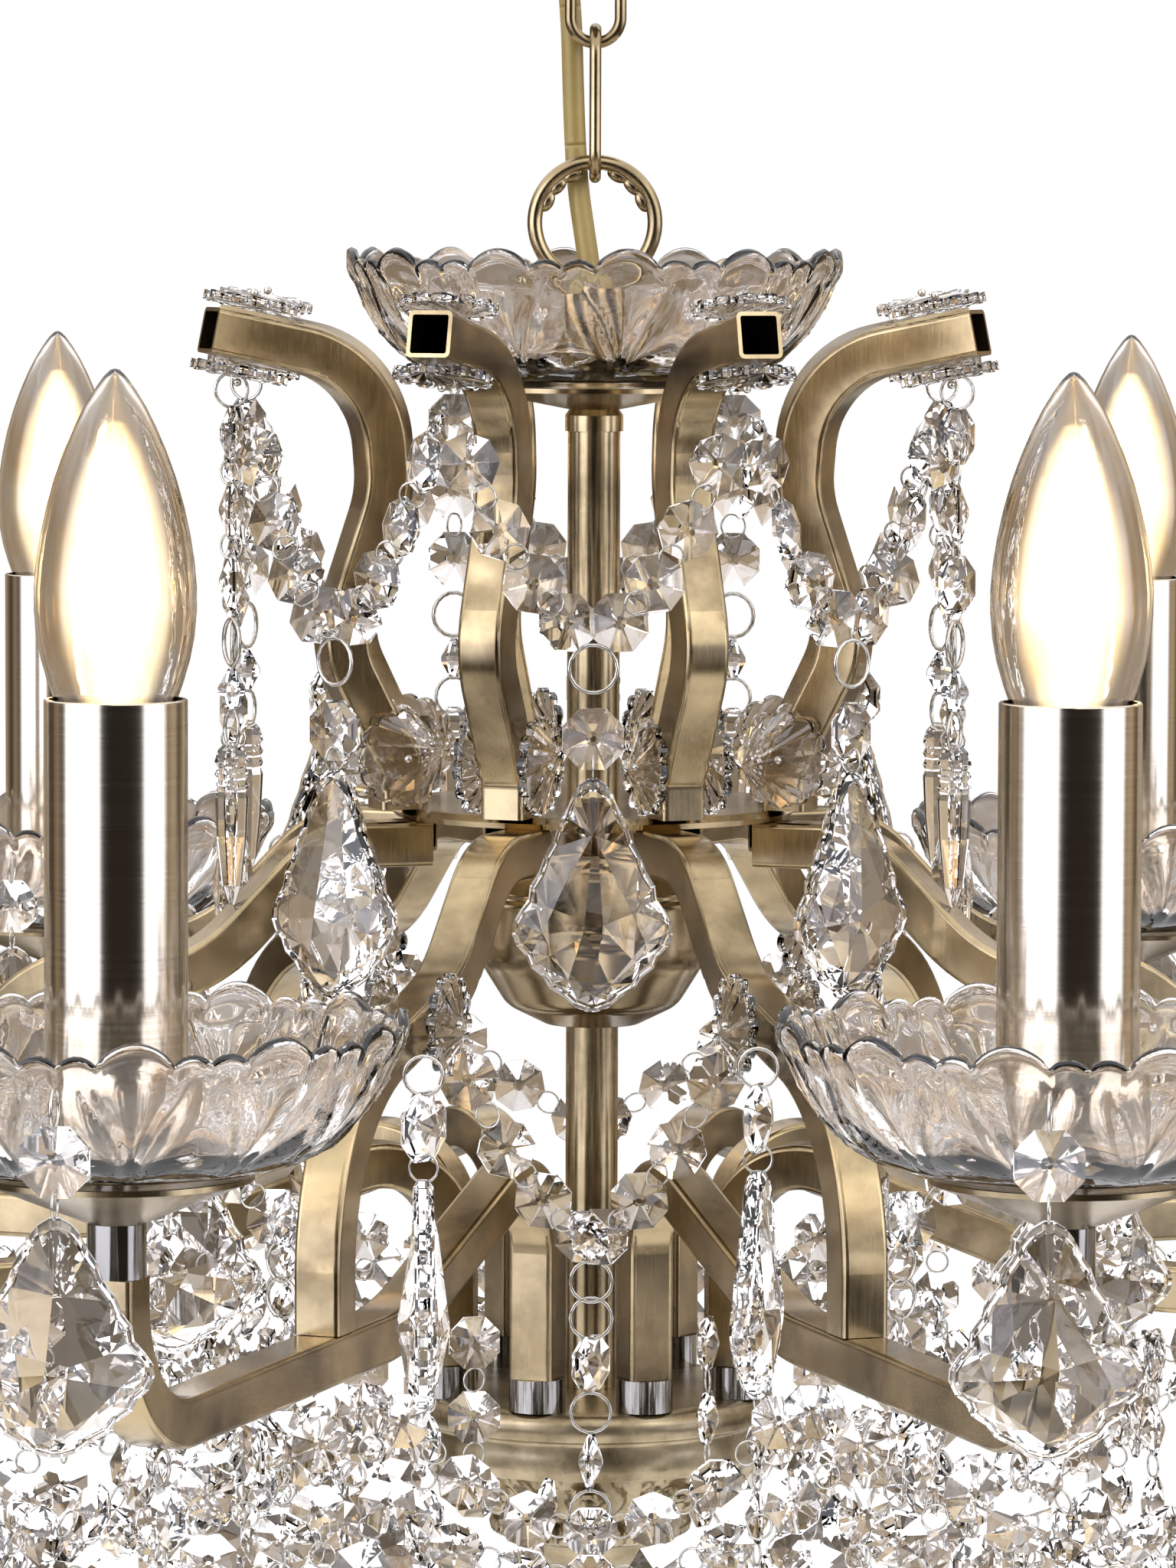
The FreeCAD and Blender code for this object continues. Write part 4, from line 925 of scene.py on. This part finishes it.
# The bottom drop: a ball of cut crystal on a wire ring under the finial, ground with eighty
# flat facets.
BALL_RADIUS = 14.6
ball_low, ball_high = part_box("bottom_drop")
ball_middle = (ball_low.z + ball_high.z) / 2 / MM
bm = bmesh.new()
bmesh.ops.create_icosphere(bm, subdivisions=2, radius=BALL_RADIUS,
                           matrix=Matrix.Translation((0, 0, ball_middle - 1.8))
                           @ Matrix.Diagonal((1, 1, 1.02, 1)))
bmesh.ops.scale(bm, vec=(MM, MM, MM), verts=bm.verts)
ball_mesh = mesh_from("bottom_ball", bm)
ball = add_piece("bottom_ball", ball_mesh, crystal, "chandelier")
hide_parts("bottom_drop")
link_ring(Vector((0, 0, ball_high.z / MM - 1.4)), Vector((0, 1, 0)), 1.0)

# Silvered wire: bright drawn steel wire with a silver wash, bent into rings and pins. The eye
# sees thin pale glints between the crystals.
silver_wire, wire_shader, wire_marks = mottled("silvered_drawn_wire", "#A9A49B", "#D8D5CE",
                                               {"Scale": 600.0}, Metallic=1.0)
wire_spread = node(silver_wire, "ShaderNodeMapRange", {"To Min": 0.16, "To Max": 0.3},
                   Value=wire_marks.outputs["Fac"])
wire_up(silver_wire, wire_spread.outputs["Result"], wire_shader.inputs["Roughness"])
octagons.done("crystal_octagons", crystal, "crystal", "upper_crystals", "lower_garlands")
drops.done("crystal_drops", crystal, "crystal", "dish_pendants")
rings.done("wire_rings", silver_wire, "crystal")
pin_heads.done("pin_heads", silver_wire, "crystal")

# The studio: a pale floor well below, and a room that isn't one real place. The camera sees it
# white, mirror reflections see dark and light panels, and all other rays see lighter panels.
FLOOR_SIZE = 2.2
FLOOR_Z = -1.75
SOFTBOX_DISTANCE = 1.6
SOFTBOX_POWER = 4
bm = bmesh.new()
bmesh.ops.create_grid(bm, x_segments=2, y_segments=2, size=FLOOR_SIZE,
                      matrix=Matrix.Translation((0, 0, FLOOR_Z)))
floor_mesh = mesh_from("floor", bm)
floor = bpy.data.objects.new("floor", floor_mesh)
bpy.context.scene.collection.objects.link(floor)
floor_paint, floor_shader = new_material("pale_floor", Roughness=0.7)
floor_shader.inputs["Base Color"].default_value = linear("#F4F3F1")
floor_mesh.materials.append(floor_paint)

world = bpy.data.worlds.new("studio")
bpy.context.scene.world = world
world.use_nodes = True
world.node_tree.nodes.clear()

direction = node(world, "ShaderNodeTexCoord")
split = node(world, "ShaderNodeSeparateXYZ", Vector=direction.outputs["Generated"])
bearing = node(world, "ShaderNodeMath", {"operation": "ARCTAN2"})
wire_up(world, split.outputs["X"], bearing.inputs[0])
wire_up(world, split.outputs["Y"], bearing.inputs[1])
share = node(world, "ShaderNodeMapRange", {"From Min": -math.pi, "From Max": math.pi},
             Value=bearing.outputs[0])
GLASS_PANELS = [(0.0, 0.22), (0.045, 0.9), (0.085, 1.0), (0.105, 0.2), (0.17, 0.25), (0.21, 0.95),
                (0.31, 1.0), (0.5, 0.9), (0.68, 1.0), (0.78, 0.95), (0.81, 0.22), (0.86, 0.2), (0.885, 0.9),
                (0.92, 0.9), (0.945, 0.18)]
METAL_PANELS = [(0.0, 0.012), (0.052, 0.02), (0.068, 2.3), (0.22, 2.3), (0.245, 0.05), (0.29, 0.32),
                (0.33, 0.06), (0.42, 0.36), (0.5, 0.2), (0.60, 0.5), (0.65, 0.12), (0.70, 0.55),
                (0.735, 0.3), (0.752, 2.0), (0.855, 1.9), (0.872, 0.02)]
BRIGHT, WARM_BROWN = (1.0, 1.04, 1.22), (1.0, 0.78, 0.54)


def panel_ring(levels, warm):
    """Light and dark panels round the room, by bearing from behind the viewer."""
    panels = node(world, "ShaderNodeValToRGB", Fac=share.outputs["Result"])
    panels.color_ramp.interpolation = "EASE"
    ramp = panels.color_ramp
    for index, (position, level) in enumerate(levels):
        element = ramp.elements[index] if index < 2 else ramp.elements.new(position)
        tint = BRIGHT if level > 0.8 else WARM_BROWN if warm else (1.0, 1.0, 1.0)
        element.position = position
        element.color = [level * part for part in tint] + [1]
    return panels.outputs["Color"]


overhead = node(world, "ShaderNodeMapRange",
                {"From Min": 0.16, "From Max": 0.6, "To Min": 0.0, "To Max": 1.0}, Value=split.outputs["Z"])
seen_directly = node(world, "ShaderNodeLightPath")
below = node(world, "ShaderNodeMapRange", {"From Min": -0.1, "From Max": -0.35, "To Min": 0.0, "To Max": 1.0},
             Value=split.outputs["Z"])
metal_room = node(world, "ShaderNodeMixRGB", {"Color2": (0.10, 0.08, 0.06, 1.0)}, Fac=below.outputs["Result"],
                  Color1=panel_ring(METAL_PANELS, True))
mirrored = node(world, "ShaderNodeMixRGB", Fac=seen_directly.outputs["Is Glossy Ray"],
                Color1=panel_ring(GLASS_PANELS, False), Color2=metal_room.outputs["Color"])
topped = node(world, "ShaderNodeMixRGB", {"Color2": (1.5, 1.5, 1.55, 1.0)}, Fac=overhead.outputs["Result"],
              Color1=mirrored.outputs["Color"])
studio_light = node(world, "ShaderNodeBackground", {"Strength": 1.15}, Color=topped.outputs["Color"])
white_cove = node(world, "ShaderNodeBackground", {"Color": (1.0, 1.0, 1.0, 1.0), "Strength": 1.0})
both = node(world, "ShaderNodeMixShader", Fac=seen_directly.outputs["Is Camera Ray"])
wire_up(world, studio_light.outputs[0], both.inputs[1])
wire_up(world, white_cove.outputs[0], both.inputs[2])
sky_output = node(world, "ShaderNodeOutputWorld")
wire_up(world, both.outputs[0], sky_output.inputs["Surface"])

for side, turn in ((-1, -48), (1, 44)):
    softbox_data = bpy.data.lights.new(f"softbox_{side}", "AREA")
    softbox_data.energy = SOFTBOX_POWER
    softbox_data.size = 0.9
    softbox = bpy.data.objects.new(f"softbox_{side}", softbox_data)
    turn = math.radians(turn)
    bearing_vector = Vector((math.sin(turn), -math.cos(turn), 0.25)) * SOFTBOX_DISTANCE
    softbox.location = bearing_vector + Vector((0, 0, -0.2))
    softbox.rotation_euler = bearing_vector.to_track_quat("Z", "Y").to_euler()
    bpy.context.scene.collection.objects.link(softbox)
bpy.context.scene.view_settings.view_transform = "Standard"
